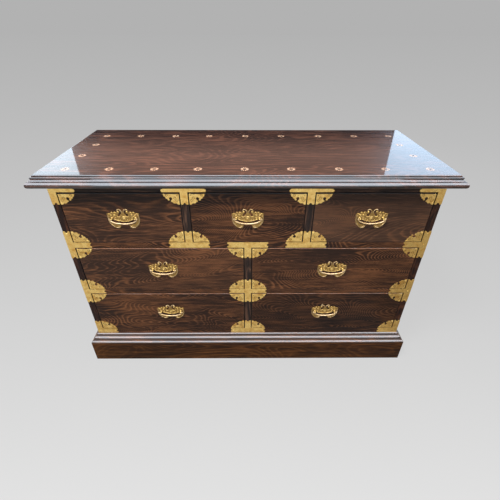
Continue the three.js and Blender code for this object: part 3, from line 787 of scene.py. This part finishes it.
# The plinth's moulding, in millimetres out from the carcass.
LEDGE, UPPER_OVOLO, UPPER_RISE, UPPER_DEPTH = 1.5, 5.5, 5.5, 1
LOWER_OVOLO, LOWER_RISE, LOWER_DEPTH, FACE_ROUND, FOOT_CHAMFER = 9.5, 4.5, 2.2, 8, 1
# The front board's ends stay back from the side boards by this, in millimetres.
MITRE_GAP = 0.3
# An upright face's normal has less than this share upwards.
UPRIGHT = 0.01


def plinth_profile():
    """The plinth's section, from the floor up: how far each point stands out, and its height."""
    upper_out = LEDGE + UPPER_OVOLO
    lower_out = upper_out + UPPER_DEPTH + LOWER_OVOLO
    face_out = lower_out + LOWER_DEPTH + FACE_ROUND
    height = PLINTH_TOP / MM
    upper_foot = height - UPPER_OVOLO
    lower_head = upper_foot - UPPER_RISE
    lower_foot = lower_head - LOWER_OVOLO
    face_head = lower_foot - LOWER_RISE
    points = [
        (0, 0), (face_out - FOOT_CHAMFER, 0), (face_out, FOOT_CHAMFER),
        *arc((face_out - FACE_ROUND, face_head - FACE_ROUND), FACE_ROUND, 0, 90, 10),
        (lower_out, face_head),
        *arc((upper_out + UPPER_DEPTH, lower_foot), LOWER_OVOLO, 0, 90, 11),
        (upper_out, lower_head),
        *arc((LEDGE, upper_foot), UPPER_OVOLO, 0, 90, 8),
        (0, height),
    ]
    return [(out * MM, up * MM) for out, up in points]


class CHEST_OT_plinth(bpy.types.Operator):
    """Make the moulded plinth: a front board and two side boards, mitred at the corners"""

    bl_idname = "chest.plinth"
    bl_label = "Plinth"

    def execute(self, context):
        profile = plinth_profile()
        end_x = OUTER_X - MITRE_GAP * MM
        for side, wood, start, end in (
            ("front", "front", (-end_x, FRONT_Y, -1, -1), (end_x, FRONT_Y, 1, -1)),
            ("left", "side", (-OUTER_X, FRONT_Y, -1, -1), (-OUTER_X, BACK_Y, -1, 0)),
            ("right", "side", (OUTER_X, FRONT_Y, 1, -1), (OUTER_X, BACK_Y, 1, 0)),
        ):
            bm = run_of_moulding(profile, start, end)
            for face in bm.faces:
                if abs(face.normal.z) < UPRIGHT and face.calc_center_median().z < PLINTH_TOP / 2:
                    face.material_index = 1
            surfaces = ["lacquered_elm_plinth_" + wood, "satin_elm_plinth_face"]
            finished(bm, f"plinth_{side}_moulded", surfaces, CARCASS, "plinth_" + side)
        return {"FINISHED"}


# Drawer fronts

# A face's normal has more than the first share along the axis that the face is square to, and less than the
# second along one that it doesn't turn to.
FLAT, ASIDE = 0.99, 0.1
# A vertex belongs to an arris up to this share of the arris's width.
ARRIS_REACH = 1.01


def is_upper(drawer):
    """Whether a drawer is in the top row."""
    return drawer.startswith("upper")


class CHEST_OT_fronts(bpy.types.Operator):
    """Make the drawer fronts: flat boards with rounded arrises"""

    bl_idname = "chest.fronts"
    bl_label = "Drawer fronts"

    def execute(self, context):
        sizes = context.scene.chest_sizes
        arris = sizes.front_arris
        for drawer in DRAWERS:
            node = "drawer_front_" + drawer
            low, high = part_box(node)
            low.y = FRONT_Y
            bm = bmesh.new()
            place = Matrix.Translation((low + high) / 2) @ Matrix.Diagonal((*(high - low), 1))
            bmesh.ops.create_cube(bm, size=1, matrix=place)
            bmesh.ops.bevel(
                bm, geom=bm.edges[:], offset=arris, segments=3, profile=0.5, affect="EDGES", material=-1
            )
            for face in bm.faces:
                normal = face.normal
                faces_up = normal.z > ASIDE and abs(normal.x) < ASIDE
                # Upward arrises below the top row take the pale arris colour, a painted highlight, partly
                # wear.
                if faces_up and max(abs(part) for part in normal) < FLAT and not is_upper(drawer):
                    face.material_index = 1
                # Every other edge and arris takes the dark edge colour: painted shade in the gaps round the
                # front.
                elif normal.y > -FLAT:
                    face.material_index = 2
            if is_upper(drawer):
                # They are eased more along the top, and that band takes the dark edge colour, a painted
                # shadow for the broad dark line under the top rail.
                for vert in bm.verts:
                    below, behind = high.z - vert.co.z, vert.co.y - low.y
                    if max(below, behind) < arris * ARRIS_REACH:
                        vert.co.z = high.z - below * sizes.upper_inset / arris
            surfaces = ["satin_elm_front_" + drawer, "rubbed_elm_arris", "stained_elm_edge"]
            finished(bm, "front_board_" + drawer, surfaces, "drawer_" + drawer, node)
        return {"FINISHED"}


# Medallions

# One quarter of the medallion's outline from the top of its middle to its right end, in millimetres from its
# centre: the notch, the tongue's crest, two lobes, the curl, the keyhole, the hook and the lobes down to the
# end.
QUARTER_START = (0, 47.4)
QUARTER_CURVES = [
    (3.4, 47.6, 3.6, 51), (8, 55.8, 12.8, 50.2), (19.5, 56.6, 25.2, 47.8), (33.6, 51.6, 36.8, 43.4),
    (42.4, 43.6, 40.6, 39.6), (39.4, 38.4, 38.4, 37.6), (34.4, 34.2, 37, 29.6), (41.2, 25.6, 45, 30.2),
    (46.8, 34, 44, 36.4), (44.6, 38.6, 47.4, 38.9), (51, 38.4, 50.4, 33.2), (57.4, 34, 56.4, 26.8),
    (63.8, 26.4, 61.6, 19.8), (68.4, 17.8, 65.2, 11.2), (69.8, 8.4, 66.7, 4.1), (62.8, 3.9, 62.8, 0),
]
# Engraved in each quarter: a spiral beside the keyhole, another below it, and four sprays. A spiral has a
# centre, an outer and an inner radius, a start in degrees, turns and steps, and a spray a start and curves.
QUARTER_SPIRALS = [
    ((28.4, 31.4), 5.6, 1.4, 20, -1.6, 28),
    ((52.2, 22), 4.8, 1.3, 120, -1.5, 26),
]
QUARTER_SPRAYS = [
    ((17.5, 33), [(17, 42, 29, 45)]),
    ((21.5, 32), [(21, 38.5, 31, 40.5)]),
    ((33, 16.5), [(46, 15.2, 61.5, 13)]),
    ((18.5, 17), [(19.5, 22, 22.4, 25)]),
]
# Where a quarter's pins are, and those of the strips between the quarters.
PLATE_PINS = [(18.5, 47.5), (18.5, 18), (60.5, 17.5)]
STRIP_PINS = [(0, 0), (0, 44), (0, -44), (58, 0), (-58, 0)]
BRASS_SURFACES = ["polished_sheet_brass", "brass_with_patina"]


def medallion_sheet(sizes):
    """The whole medallion as a flat sheet, which the mounts and the corner plates are cut from."""
    quarter = trace(QUARTER_START, QUARTER_CURVES, steps=5)
    outline = []
    for hand_x, hand_z in ((1, 1), (1, -1), (-1, -1), (-1, 1)):
        part = [Vector((point.x * hand_x, point.y * hand_z)) for point in quarter]
        if hand_x != hand_z:
            part.reverse()
        outline += part[:-1]
    width = sizes.engraving_width / MM
    paths = [spiral(*data) for data in QUARTER_SPIRALS]
    paths += [trace(start, curves, steps=8) for start, curves in QUARTER_SPRAYS]
    engraved = [
        [(x * hand_x * MM, z * hand_z * MM) for x, z in line_loop(path, width)]
        for hand_x in HANDS for hand_z in HANDS for path in paths
    ]
    return sheet_from([point * MM for point in outline], [], engraved)


def plate_from(sheet, cuts, keep, pins, sizes):
    """Cuts a plate out of a medallion's sheet, thickens it and drives its pins."""
    bm = cut_sheet(sheet, cuts, keep)
    thicken(bm, sizes.brass, sizes.brass_arris, sizes.engraving)
    for x, z in pins:
        dome(bm, x * MM, z * MM, sizes.pin, sizes.pin * PIN_RISE, sizes.pin)
    return bm


def fold(bm, hand, corner, thickness, arc_length):
    """Bends what lies past the carcass's corner back on to its side, for the left or the right hand."""
    for vert in bm.verts:
        past = hand * vert.co.x - corner
        if past <= 0:
            continue
        radius = thickness - vert.co.y
        turn = min(past / arc_length, 1) * math.pi / 2
        straight = max(past - arc_length, 0)
        vert.co.x = hand * (corner + radius * math.sin(turn))
        vert.co.y = thickness - radius * math.cos(turn) + straight


# A folded mount bends over this many times its thickness, in this many steps.
BEND, BEND_STEPS = 0.8, 3


class CHEST_OT_mounts(bpy.types.Operator):
    """Make the brass mounts of the front frame, which are parts of medallions cut by the drawer gaps"""

    bl_idname = "chest.mounts"
    bl_label = "Frame mounts"

    def execute(self, context):
        sizes = context.scene.chest_sizes
        sheet = medallion_sheet(sizes)
        for mount in MOUNTS:
            post, rail = POSTS[mount.post], RAILS[mount.rail]
            half_post, half_rail = (post.high - post.low) / 2, (rail.high - rail.low) / 2
            hand = {"stile_left": -1, "stile_right": 1}.get(mount.post, 0)
            edge_x, edge_z = half_post - sizes.frame_inset, half_rail - sizes.frame_inset
            cuts = [(RIGHT, -edge_x), (RIGHT, edge_x), (UP, -edge_z), (UP, edge_z)]
            bend = sizes.brass * BEND
            steps = range(BEND_STEPS + 1) if hand else ()
            cuts += [(RIGHT, hand * (half_post + bend * step / BEND_STEPS)) for step in steps]

            def keep(spot):
                if (spot.z > edge_z and not mount.above) or (spot.z < -edge_z and not mount.below):
                    return False
                return abs(spot.z) < edge_z or abs(spot.x) < edge_x or hand * spot.x > 0

            pins = STRIP_PINS + [(hand * x, side * z) for x, z in PLATE_PINS for side in HANDS if hand]
            kept_pins = [(x, z) for x, z in pins if keep(Vector((x, 0, z)) * MM)]
            bm = plate_from(sheet, cuts, keep, kept_pins, sizes)
            if hand:
                fold(bm, hand, half_post, sizes.brass, bend)
            shift(bm, (middle(post), FRONT_Y - sizes.brass, middle(rail)))
            name = mount.node.replace("mount_", "medallion_")
            finished(bm, name, BRASS_SURFACES, CARCASS, mount.node)
        sheet.free()
        return {"FINISHED"}


class CHEST_OT_corner_plates(bpy.types.Operator):
    """Make the brass plates on the corners of the drawer fronts, which carry on the frame's medallions"""

    bl_idname = "chest.corner_plates"
    bl_label = "Corner plates"

    def execute(self, context):
        sizes = context.scene.chest_sizes
        sheet = medallion_sheet(sizes)
        for drawer in DRAWERS:
            low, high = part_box("drawer_front_" + drawer)
            inset_top = sizes.upper_inset if is_upper(drawer) else sizes.rubbed_inset
            for level, edge_z, side_z, inset_z in (
                ("top", high.z, -1, inset_top), ("bottom", low.z, 1, sizes.front_inset),
            ):
                for side, edge_x, side_x in (("left", low.x, 1), ("right", high.x, -1)):
                    x = min(map(middle, POSTS.values()), key=lambda place: abs(place - edge_x))
                    z = min(map(middle, RAILS.values()), key=lambda place: abs(place - edge_z))
                    near_x = edge_x + side_x * sizes.front_inset - x
                    near_z = edge_z + side_z * inset_z - z

                    def keep(spot):
                        return side_x * (spot.x - near_x) > 0 and side_z * (spot.z - near_z) > 0

                    pins = [(side_x * pin_x, side_z * pin_z) for pin_x, pin_z in PLATE_PINS]
                    bm = plate_from(sheet, [(RIGHT, near_x), (UP, near_z)], keep, pins, sizes)
                    shift(bm, (x, FRONT_Y - sizes.brass, z))
                    name = f"corner_plate_{drawer}_{level}_{side}"
                    finished(bm, name, BRASS_SURFACES, "drawer_" + drawer)
        sheet.free()
        return {"FINISHED"}


# Handles

# A backplate's width, height and arris, in millimetres. Then one half of it from the top of its middle,
# round the ear, along the wing, down to the foot and back along the slot under the body, and the pierced
# comma in the ear, both as shares of half the width and half the height.
PLATE_WIDTH, PLATE_HEIGHT, PLATE_ARRIS = 100, 70, 0.45
PLATE_START = (0, 0.71)
PLATE_CURVES = [
    (0.05, 0.97, 0.2, 1), (0.34, 1.01, 0.36, 0.79), (0.375, 0.72, 0.38, 0.66), (0.49, 0.83, 0.59, 0.66),
    (0.69, 0.84, 0.77, 0.6), (0.89, 0.62, 1, 0.54), (1, 0.25, 1, -0.05), (0.99, -0.36, 0.89, -0.56),
    (0.76, -0.84, 0.58, -0.93), (0.34, -1.06, 0.27, -0.76), (0.25, -0.68, 0.29, -0.62),
    (0.42, -0.6, 0.54, -0.54), (0.78, -0.46, 0.8, -0.06), (0.7, -0.07, 0.6, -0.1), (0.4, -0.23, 0.2, -0.27),
    (0.1, -0.28, 0, -0.28),
]
COMMA_START = (0.22, 0.9)
COMMA_CURVES = [
    (0.1, 0.88, 0.09, 0.68), (0.08, 0.52, 0.17, 0.42), (0.2, 0.3, 0.25, 0.28), (0.33, 0.32, 0.32, 0.46),
    (0.31, 0.52, 0.25, 0.53), (0.18, 0.57, 0.19, 0.68), (0.19, 0.8, 0.25, 0.85), (0.25, 0.89, 0.22, 0.9),
]
# Raised lines on one half, in millimetres: start, curves, half width and rise. Hands have worn the rims
# pale.
PLATE_RIMS = [
    ((2.4, 20), [(2.6, 31, 10, 33.2)], 1.2, 1.2),
    ((9, 33.2), [(17, 33.6, 16.2, 25)], 1.5, 1.5),
    ((48, 14), [(48.6, 0, 46.8, -9), (44.5, -19, 33, -28)], 1.3, 1.2),
    ((15.8, -24.8), [(20, -32.8, 31, -29.6)], 1.3, 1.2),
]
PLATE_BEADS = [
    ((20.3, 20.8), [(24.5, 26.4, 28.6, 20.8)], 1.1, 1.2),
    ((30.6, 20.4), [(34.6, 26.2, 37.8, 18.6)], 1.1, 1.2),
    ((40, 18), [(44, 18.9, 47.6, 16.6)], 1.1, 1.2),
    ((32, 0.2), [(22, -5.7, 9, -7.5), (4, -8.1, 0, -8.1)], 1.0, 1.0),
    ((5, 12), [(10.5, 5.5, 17, 8.5), (21, 11, 17.5, 15)], 1.0, 1.2),
]
# Raised scrolls on one half, in millimetres: centre, outer and inner radius, start in degrees, turns and
# steps. They all have the same half width and rise.
PLATE_SCROLLS = [
    ((26.8, 13.2), 4.6, 1.1, 210, -1.35, 18),
    ((37.6, 13.4), 4.2, 1.0, -20, 1.35, 18),
    ((26.8, 2.4), 4.4, 1.1, 100, 1.3, 18),
]
SCROLL_HALF, SCROLL_RISE = 0.95, 1.4
# Raised bosses on one half, in millimetres: place, half width and rise. They are higher than wide.
PLATE_DROPS = [
    ((0, 2), 6.4, 1.0), ((0, 0.6), 3.2, 2.0), ((13.4, 24.2), 2.7, 1.6), ((12, -3), 1.4, 0.8),
    ((18.5, -1.8), 1.3, 0.8), ((44.6, 10), 1.3, 0.9), ((32, 8), 1.4, 0.9), ((21, -27), 1.8, 0.8),
    ((40.5, -19.5), 1.7, 0.8),
]
DROP_TALLNESS = 1.25

# The posts, in millimetres: their spacing, how high over the plate's middle and how far before the front the
# bail turns in them, and the radius of their balls and of their shafts.
POST_SPACING, PIVOT_RISE, PIVOT_REACH, BALL_RADIUS, SHAFT_RADIUS = 74, 2.5, 8, 3.4, 2.2
# A post from its foot to its shaft: radii and heights over the front, in millimetres.
POST_PROFILE = [(0, 0.5), (4.1, 0.5), (4.3, 1.6), (3.9, 2.1), (3.2, 2.3), (2.8, 2.9), (2.3, 3.2), (2.2, 3.8)]

# The bail, in millimetres: its drop, the radius at its ends, its middle's height and thickness, its eyes'
# radius and the smaller one of their flats, the gap between an eye and its post, and its pins.
BAIL_DROP, BAIL_END, BAIL_HEIGHT, BAIL_THICKNESS = 17, 1.9, 5.4, 4.6
EYE_RADIUS, EYE_FLAT, BAIL_GAP = 2.6, 1.7, 0.6
BAIL_PIN, PIN_CHAMFER = 1.5, 0.4


def both_halves(points):
    """A path on the right half of a handle and its mirror image on the left."""
    return [points, [Vector((-point.x, point.y)) for point in points]]


def backplate_shape(thickness):
    """A pierced backplate with its raised ornament and its two posts, round the middle of the front."""

    def placed(start, curves, steps):
        half_width, half_height = PLATE_WIDTH / 2 * MM, PLATE_HEIGHT / 2 * MM
        return [Vector((x * half_width, z * half_height)) for x, z in trace(start, curves, steps)]

    right, left = both_halves(placed(PLATE_START, PLATE_CURVES, 7))
    commas = both_halves(placed(COMMA_START, COMMA_CURVES, 6)[:-1])
    bm = sheet_from(right[:-1] + left[:0:-1], commas, [])
    thicken(bm, thickness, PLATE_ARRIS * MM, 0)
    ground = set(bm.faces)

    def add_beads(beads):
        for points, half, rise in beads:
            for path in both_halves([point * MM for point in points]):
                bead(bm, path, half * MM, rise * MM)

    add_beads([(trace(start, curves, steps=7), half, rise) for start, curves, half, rise in PLATE_RIMS])
    rims = set(bm.faces) - ground
    add_beads([(trace(start, curves, steps=7), half, rise) for start, curves, half, rise in PLATE_BEADS])
    add_beads([(spiral(*data), SCROLL_HALF, SCROLL_RISE) for data in PLATE_SCROLLS])
    for (x, z), half, rise in PLATE_DROPS:
        for hand in HANDS if x else (1,):
            dome(bm, hand * x * MM, z * MM, half * MM, rise * MM, half * DROP_TALLNESS * MM)
    shift(bm, -DEPTH * thickness)
    neck = math.degrees(math.asin(SHAFT_RADIUS / BALL_RADIUS))
    ball = [(x, PIVOT_REACH + y) for x, y in arc((0, 0), BALL_RADIUS, neck - 90, 90, 12)]
    profile = [*POST_PROFILE, *ball[:-1], (0, PIVOT_REACH + BALL_RADIUS)]
    for hand in HANDS:
        centre = Vector((hand * POST_SPACING / 2, 0, PIVOT_RISE)) * MM
        turned(bm, profile, centre, -DEPTH, steps=20)
    for face in set(bm.faces) - ground:
        face.material_index = 2 if face in rims else 1
    return bm


def bail_shape():
    """A bail that hangs at rest, with its eyes and pins, round the middle of the front."""
    bm = bmesh.new()
    arm = POST_SPACING / 2 + BALL_RADIUS + BAIL_GAP + BAIL_END
    steps = 44
    stations = []
    for step in range(steps + 1):
        turn = math.pi * step / steps
        swell = math.sin(turn)
        wide = BAIL_END + (BAIL_HEIGHT / 2 - BAIL_END) * swell
        deep = BAIL_END + (BAIL_THICKNESS / 2 - BAIL_END) * swell
        place = Vector((arm * math.cos(turn), 0, -BAIL_DROP * math.sin(turn)))
        along = Vector((-arm * math.sin(turn), 0, -BAIL_DROP * math.cos(turn)))
        stations.append((place * MM, along, wide * MM, deep * MM))
    sweep(bm, stations, sides=16)
    rim = arc((-BAIL_END, 0), EYE_RADIUS + BAIL_END, -25, 25, 6)
    eye = [(0, -BAIL_END), (EYE_FLAT, -BAIL_END), *rim, (EYE_FLAT, BAIL_END), (0, BAIL_END)]
    length = arm - POST_SPACING / 2 + BALL_RADIUS / 2
    tip = [(BAIL_PIN, length - PIN_CHAMFER), (BAIL_PIN - PIN_CHAMFER, length)]
    pin = [(0, 0), (BAIL_PIN, 0), *tip, (0, length)]
    for hand in HANDS:
        centre = RIGHT * hand * arm * MM
        turned(bm, eye, centre, RIGHT, steps=16)
        turned(bm, pin, centre, RIGHT * -hand, steps=12)
    shift(bm, (0, -PIVOT_REACH * MM, PIVOT_RISE * MM))
    return bm


def put_on_drawers(shape, name, surfaces, body, node):
    """Puts a copy of a handle's shape on the middle of each drawer front, as a piece of a body."""
    for drawer in DRAWERS:
        low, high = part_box("drawer_front_" + drawer)
        bm = shape.copy()
        shift(bm, ((low.x + high.x) / 2, FRONT_Y, (low.z + high.z) / 2))
        finished(bm, name + drawer, surfaces, body + drawer, node + drawer)
    shape.free()


class CHEST_OT_backplates(bpy.types.Operator):
    """Make the bat-shaped backplates with their posts"""

    bl_idname = "chest.backplates"
    bl_label = "Backplates"

    def execute(self, context):
        shape = backplate_shape(context.scene.chest_sizes.backplate)
        surfaces = ["cast_brass", "cast_brass_rubbed", "cast_brass_worn_bright"]
        put_on_drawers(shape, "backplate_", surfaces, "drawer_", "handle_plate_")
        return {"FINISHED"}


class CHEST_OT_bails(bpy.types.Operator):
    """Make the bails, which thicken to the middle and turn on pins in the posts"""

    bl_idname = "chest.bails"
    bl_label = "Bails"

    def execute(self, context):
        put_on_drawers(bail_shape(), "bail_pull_", ["cast_brass_worn_bright"], "bail_", "bail_")
        return {"FINISHED"}


# Stage

# How much of the floor's look is its own glow, and how strong that is for the floor to match the backdrop.
FLOOR_SHARE, FLOOR_GLOW = 0.94, 1.04
# The floor's tone goes as one over the distance from this far in front of the object, in metres, and is the
# near tone from this share of nearness up.
FLOOR_START, FLOOR_NEAR = 1.917, 0.85
# How far the floor reaches each way and how far it lies under the object's foot, in metres.
FLOOR_REACH, FLOOR_DROP = 60, 0.2 * MM

# A broad soft light above the front, a little to the left, and a weak one behind for the other sides: share
# of the key's power, place and width. Both look at the same spot.
LAMPS = {"key": (1, (-0.7, -1.05, 2.65), 0.75), "fill": (0.3, (0.8, 2.6, 1.8), 2.0)}
LAMP_AIM = Vector((0, -0.1, 0.5))

# What only the lacquer and the brass mirror, in metres: a dark flag behind the chest, which the camera sees
# in the top between the two levels of its fade, pale boxes beside it, a grey flag on the floor at the right,
# and the boxes over and in front of the chest, whose strength is a share of the stage's. Each has opposite
# corners, a strength, a colour, and, if it fades, another colour and the axis and places of its fade.
WALL, WALL_LOW, WALL_HIGH, FLAG_LEFT, FLAG_RIGHT, WALL_END = 3.0, 0.9, 3.1, -2.18, 1.785, 4.2
ROOM, ROOM_FRONT, ROOM_HIGH = 4, -8, 3.3
MIRRORED = {
    "flag": (
        (FLAG_LEFT, WALL, WALL_LOW), (FLAG_RIGHT, WALL, WALL_HIGH), 1.0,
        "#30262a", "#cb9c8a", "Z", 1.54, 1.78,
    ),
    "soft_box_left": ((-WALL_END, WALL, WALL_LOW), (FLAG_LEFT, WALL, WALL_HIGH), 3.5, "#e0eefb"),
    "soft_box_right": ((FLAG_RIGHT, WALL, WALL_LOW), (WALL_END, WALL, WALL_HIGH), 3.1, "#cfe6ff"),
    "flag_right": ((0.62, -2.4, 0.01), (3, -0.28, 0.01), 1.0, "#a09890"),
}
OVERHEAD = {
    "soft_box_over": (
        (-ROOM, ROOM_FRONT, ROOM_HIGH), (ROOM, 1.2, ROOM_HIGH), 1.0,
        "#e8f0fb", "#101010", "Y", -0.6, 1.1,
    ),
    "soft_box_front": ((-ROOM, ROOM_FRONT, 0.2), (ROOM, ROOM_FRONT, ROOM_HIGH), 0.6, "#e8f0fb"),
}


def pale_everywhere(add):
    """How much of the light's path comes from the camera, or by way of metal or glass."""
    seen = add("LightPath", out="Is Camera Ray")
    for ray in ("Is Glossy Ray", "Is Transmission Ray"):
        seen = add("Math", [seen, add("LightPath", out=ray)], operation="MAXIMUM")
    return seen


def glow(add, strength, colour_from, colour_to=None, axis=None, start=0, end=1):
    """The even glow of a panel, or one that fades from one colour to another along an axis."""
    shade = linear(colour_from)
    if axis:
        level = add("SeparateXYZ", [add("TexCoord", out="Object")], out=axis)
        share = add("MapRange", [level, start, end])
        shade = add("Mix", {0: share, 6: shade, 7: linear(colour_to)}, out=2, data_type="RGBA")
    return add("Emission", {"Color": shade, "Strength": strength})


def pale_floor(add, stage):
    """Painted floor: pale to the camera, darker with distance, and keeping part of the object's shadow."""
    away = add("SeparateXYZ", [add("TexCoord", out="Object")], out="Y")
    reach = add("Math", [add("Math", [away, FLOOR_START], operation="ADD"), 1.0], operation="MAXIMUM")
    nearness = add("Math", [1.0, reach], operation="DIVIDE")
    share = add("MapRange", [nearness, 0.0, FLOOR_NEAR])
    shade = add("Mix", {0: share, 6: stage.far_floor, 7: stage.near_floor}, out=2, data_type="RGBA")
    own = add("Emission", {"Color": shade, "Strength": FLOOR_GLOW})
    seen = add("MixShader", [FLOOR_SHARE, add("BsdfDiffuse", [shade]), own])
    return add("MixShader", [pale_everywhere(add), add("BsdfDiffuse", [stage.bounce]), seen])


class CHEST_OT_stage(bpy.types.Operator):
    """Make the camera, the pale floor and the soft light"""

    bl_idname = "chest.stage"
    bl_label = "Stage"

    def execute(self, context):
        scene = context.scene
        stage = scene.chest_stage
        scene.view_settings.view_transform = "Standard"

        lens = bpy.data.cameras.new("camera")
        lens.sensor_width = 36
        lens.lens = lens.sensor_width / 2 / stage.half_width
        lens.clip_start, lens.clip_end = 0.05, 200
        scene.camera = linked("camera", lens)
        turn = Matrix.Rotation(-stage.heading, 4, "Z") @ Matrix.Rotation(math.pi / 2 - stage.tilt, 4, "X")
        roll = Matrix.Rotation(stage.roll, 4, "Z")
        scene.camera.matrix_world = Matrix.Translation(stage.place) @ turn @ roll

        bm = bmesh.new()
        bmesh.ops.create_grid(bm, x_segments=1, y_segments=1, size=FLOOR_REACH)
        shift(bm, -UP * FLOOR_DROP)
        added(bm, "floor", [painted("pale_floor", pale_floor, stage)])

        world = bpy.data.worlds.new("studio")
        world.use_nodes = True
        world.node_tree.nodes.clear()
        add = partial(add_node, world.node_tree)
        backdrop = add("Background", {"Color": stage.far_floor, "Strength": 1.0})
        light = add("Background", {"Color": linear("#ffffff"), "Strength": stage.ambient})
        add("OutputWorld", [add("MixShader", [pale_everywhere(add), light, backdrop])])
        scene.world = world

        for name, (share, spot, width) in LAMPS.items():
            data = bpy.data.lights.new(name, "AREA")
            data.energy = stage.key * share
            data.size = width
            lamp = linked(name, data)
            aim = (LAMP_AIM - Vector(spot)).to_track_quat("-Z", "Y")
            lamp.matrix_world = Matrix.Translation(spot) @ aim.to_matrix().to_4x4()
            lamp.visible_camera = lamp.visible_glossy = False

        for panels, share in ((MIRRORED, 1), (OVERHEAD, stage.overhead)):
            for name, (low, high, strength, *colours) in panels.items():
                wide = Vector((high[0] - low[0], 0, 0))
                corners = (Vector(low), Vector(low) + wide, Vector(high), Vector(high) - wide)
                bm = bmesh.new()
                bm.faces.new([bm.verts.new(corner) for corner in corners])
                made = added(bm, name, [painted(name, glow, strength * share, *colours)])
                made.visible_camera = made.visible_diffuse = made.visible_shadow = False
                made.visible_transmission = False
        return {"FINISHED"}


class CHEST_PT_sidebar(bpy.types.Panel):
    """Lists the steps and their settings"""

    bl_label = "Chest of drawers"
    bl_idname = "CHEST_PT_sidebar"
    bl_space_type = "VIEW_3D"
    bl_region_type = "UI"
    bl_category = "Chest"

    def draw(self, context):
        for group in SETTINGS:
            settings = getattr(context.scene, group)
            column = self.layout.column(align=True)
            for name in settings.__annotations__:
                column.prop(settings, name)
        for step in STEPS:
            self.layout.operator(step.bl_idname)


STEPS = (
    CHEST_OT_carcass, CHEST_OT_top, CHEST_OT_rosettes, CHEST_OT_plinth, CHEST_OT_fronts, CHEST_OT_mounts,
    CHEST_OT_corner_plates, CHEST_OT_backplates, CHEST_OT_bails, CHEST_OT_stage,
)
SETTINGS = {"chest_sizes": ChestSizes, "chest_finish": ChestFinish, "chest_stage": ChestStage}
CLASSES = (*SETTINGS.values(), *STEPS, CHEST_PT_sidebar)


def register():
    for each in CLASSES:
        bpy.utils.register_class(each)
    for name, group in SETTINGS.items():
        setattr(bpy.types.Scene, name, PointerProperty(type=group))


def unregister():
    for name in SETTINGS:
        delattr(bpy.types.Scene, name)
    for each in reversed(CLASSES):
        bpy.utils.unregister_class(each)


def main():
    register()
    for step in STEPS:
        getattr(bpy.ops.chest, step.bl_idname.partition(".")[2])()


if __name__ == "__main__":
    main()
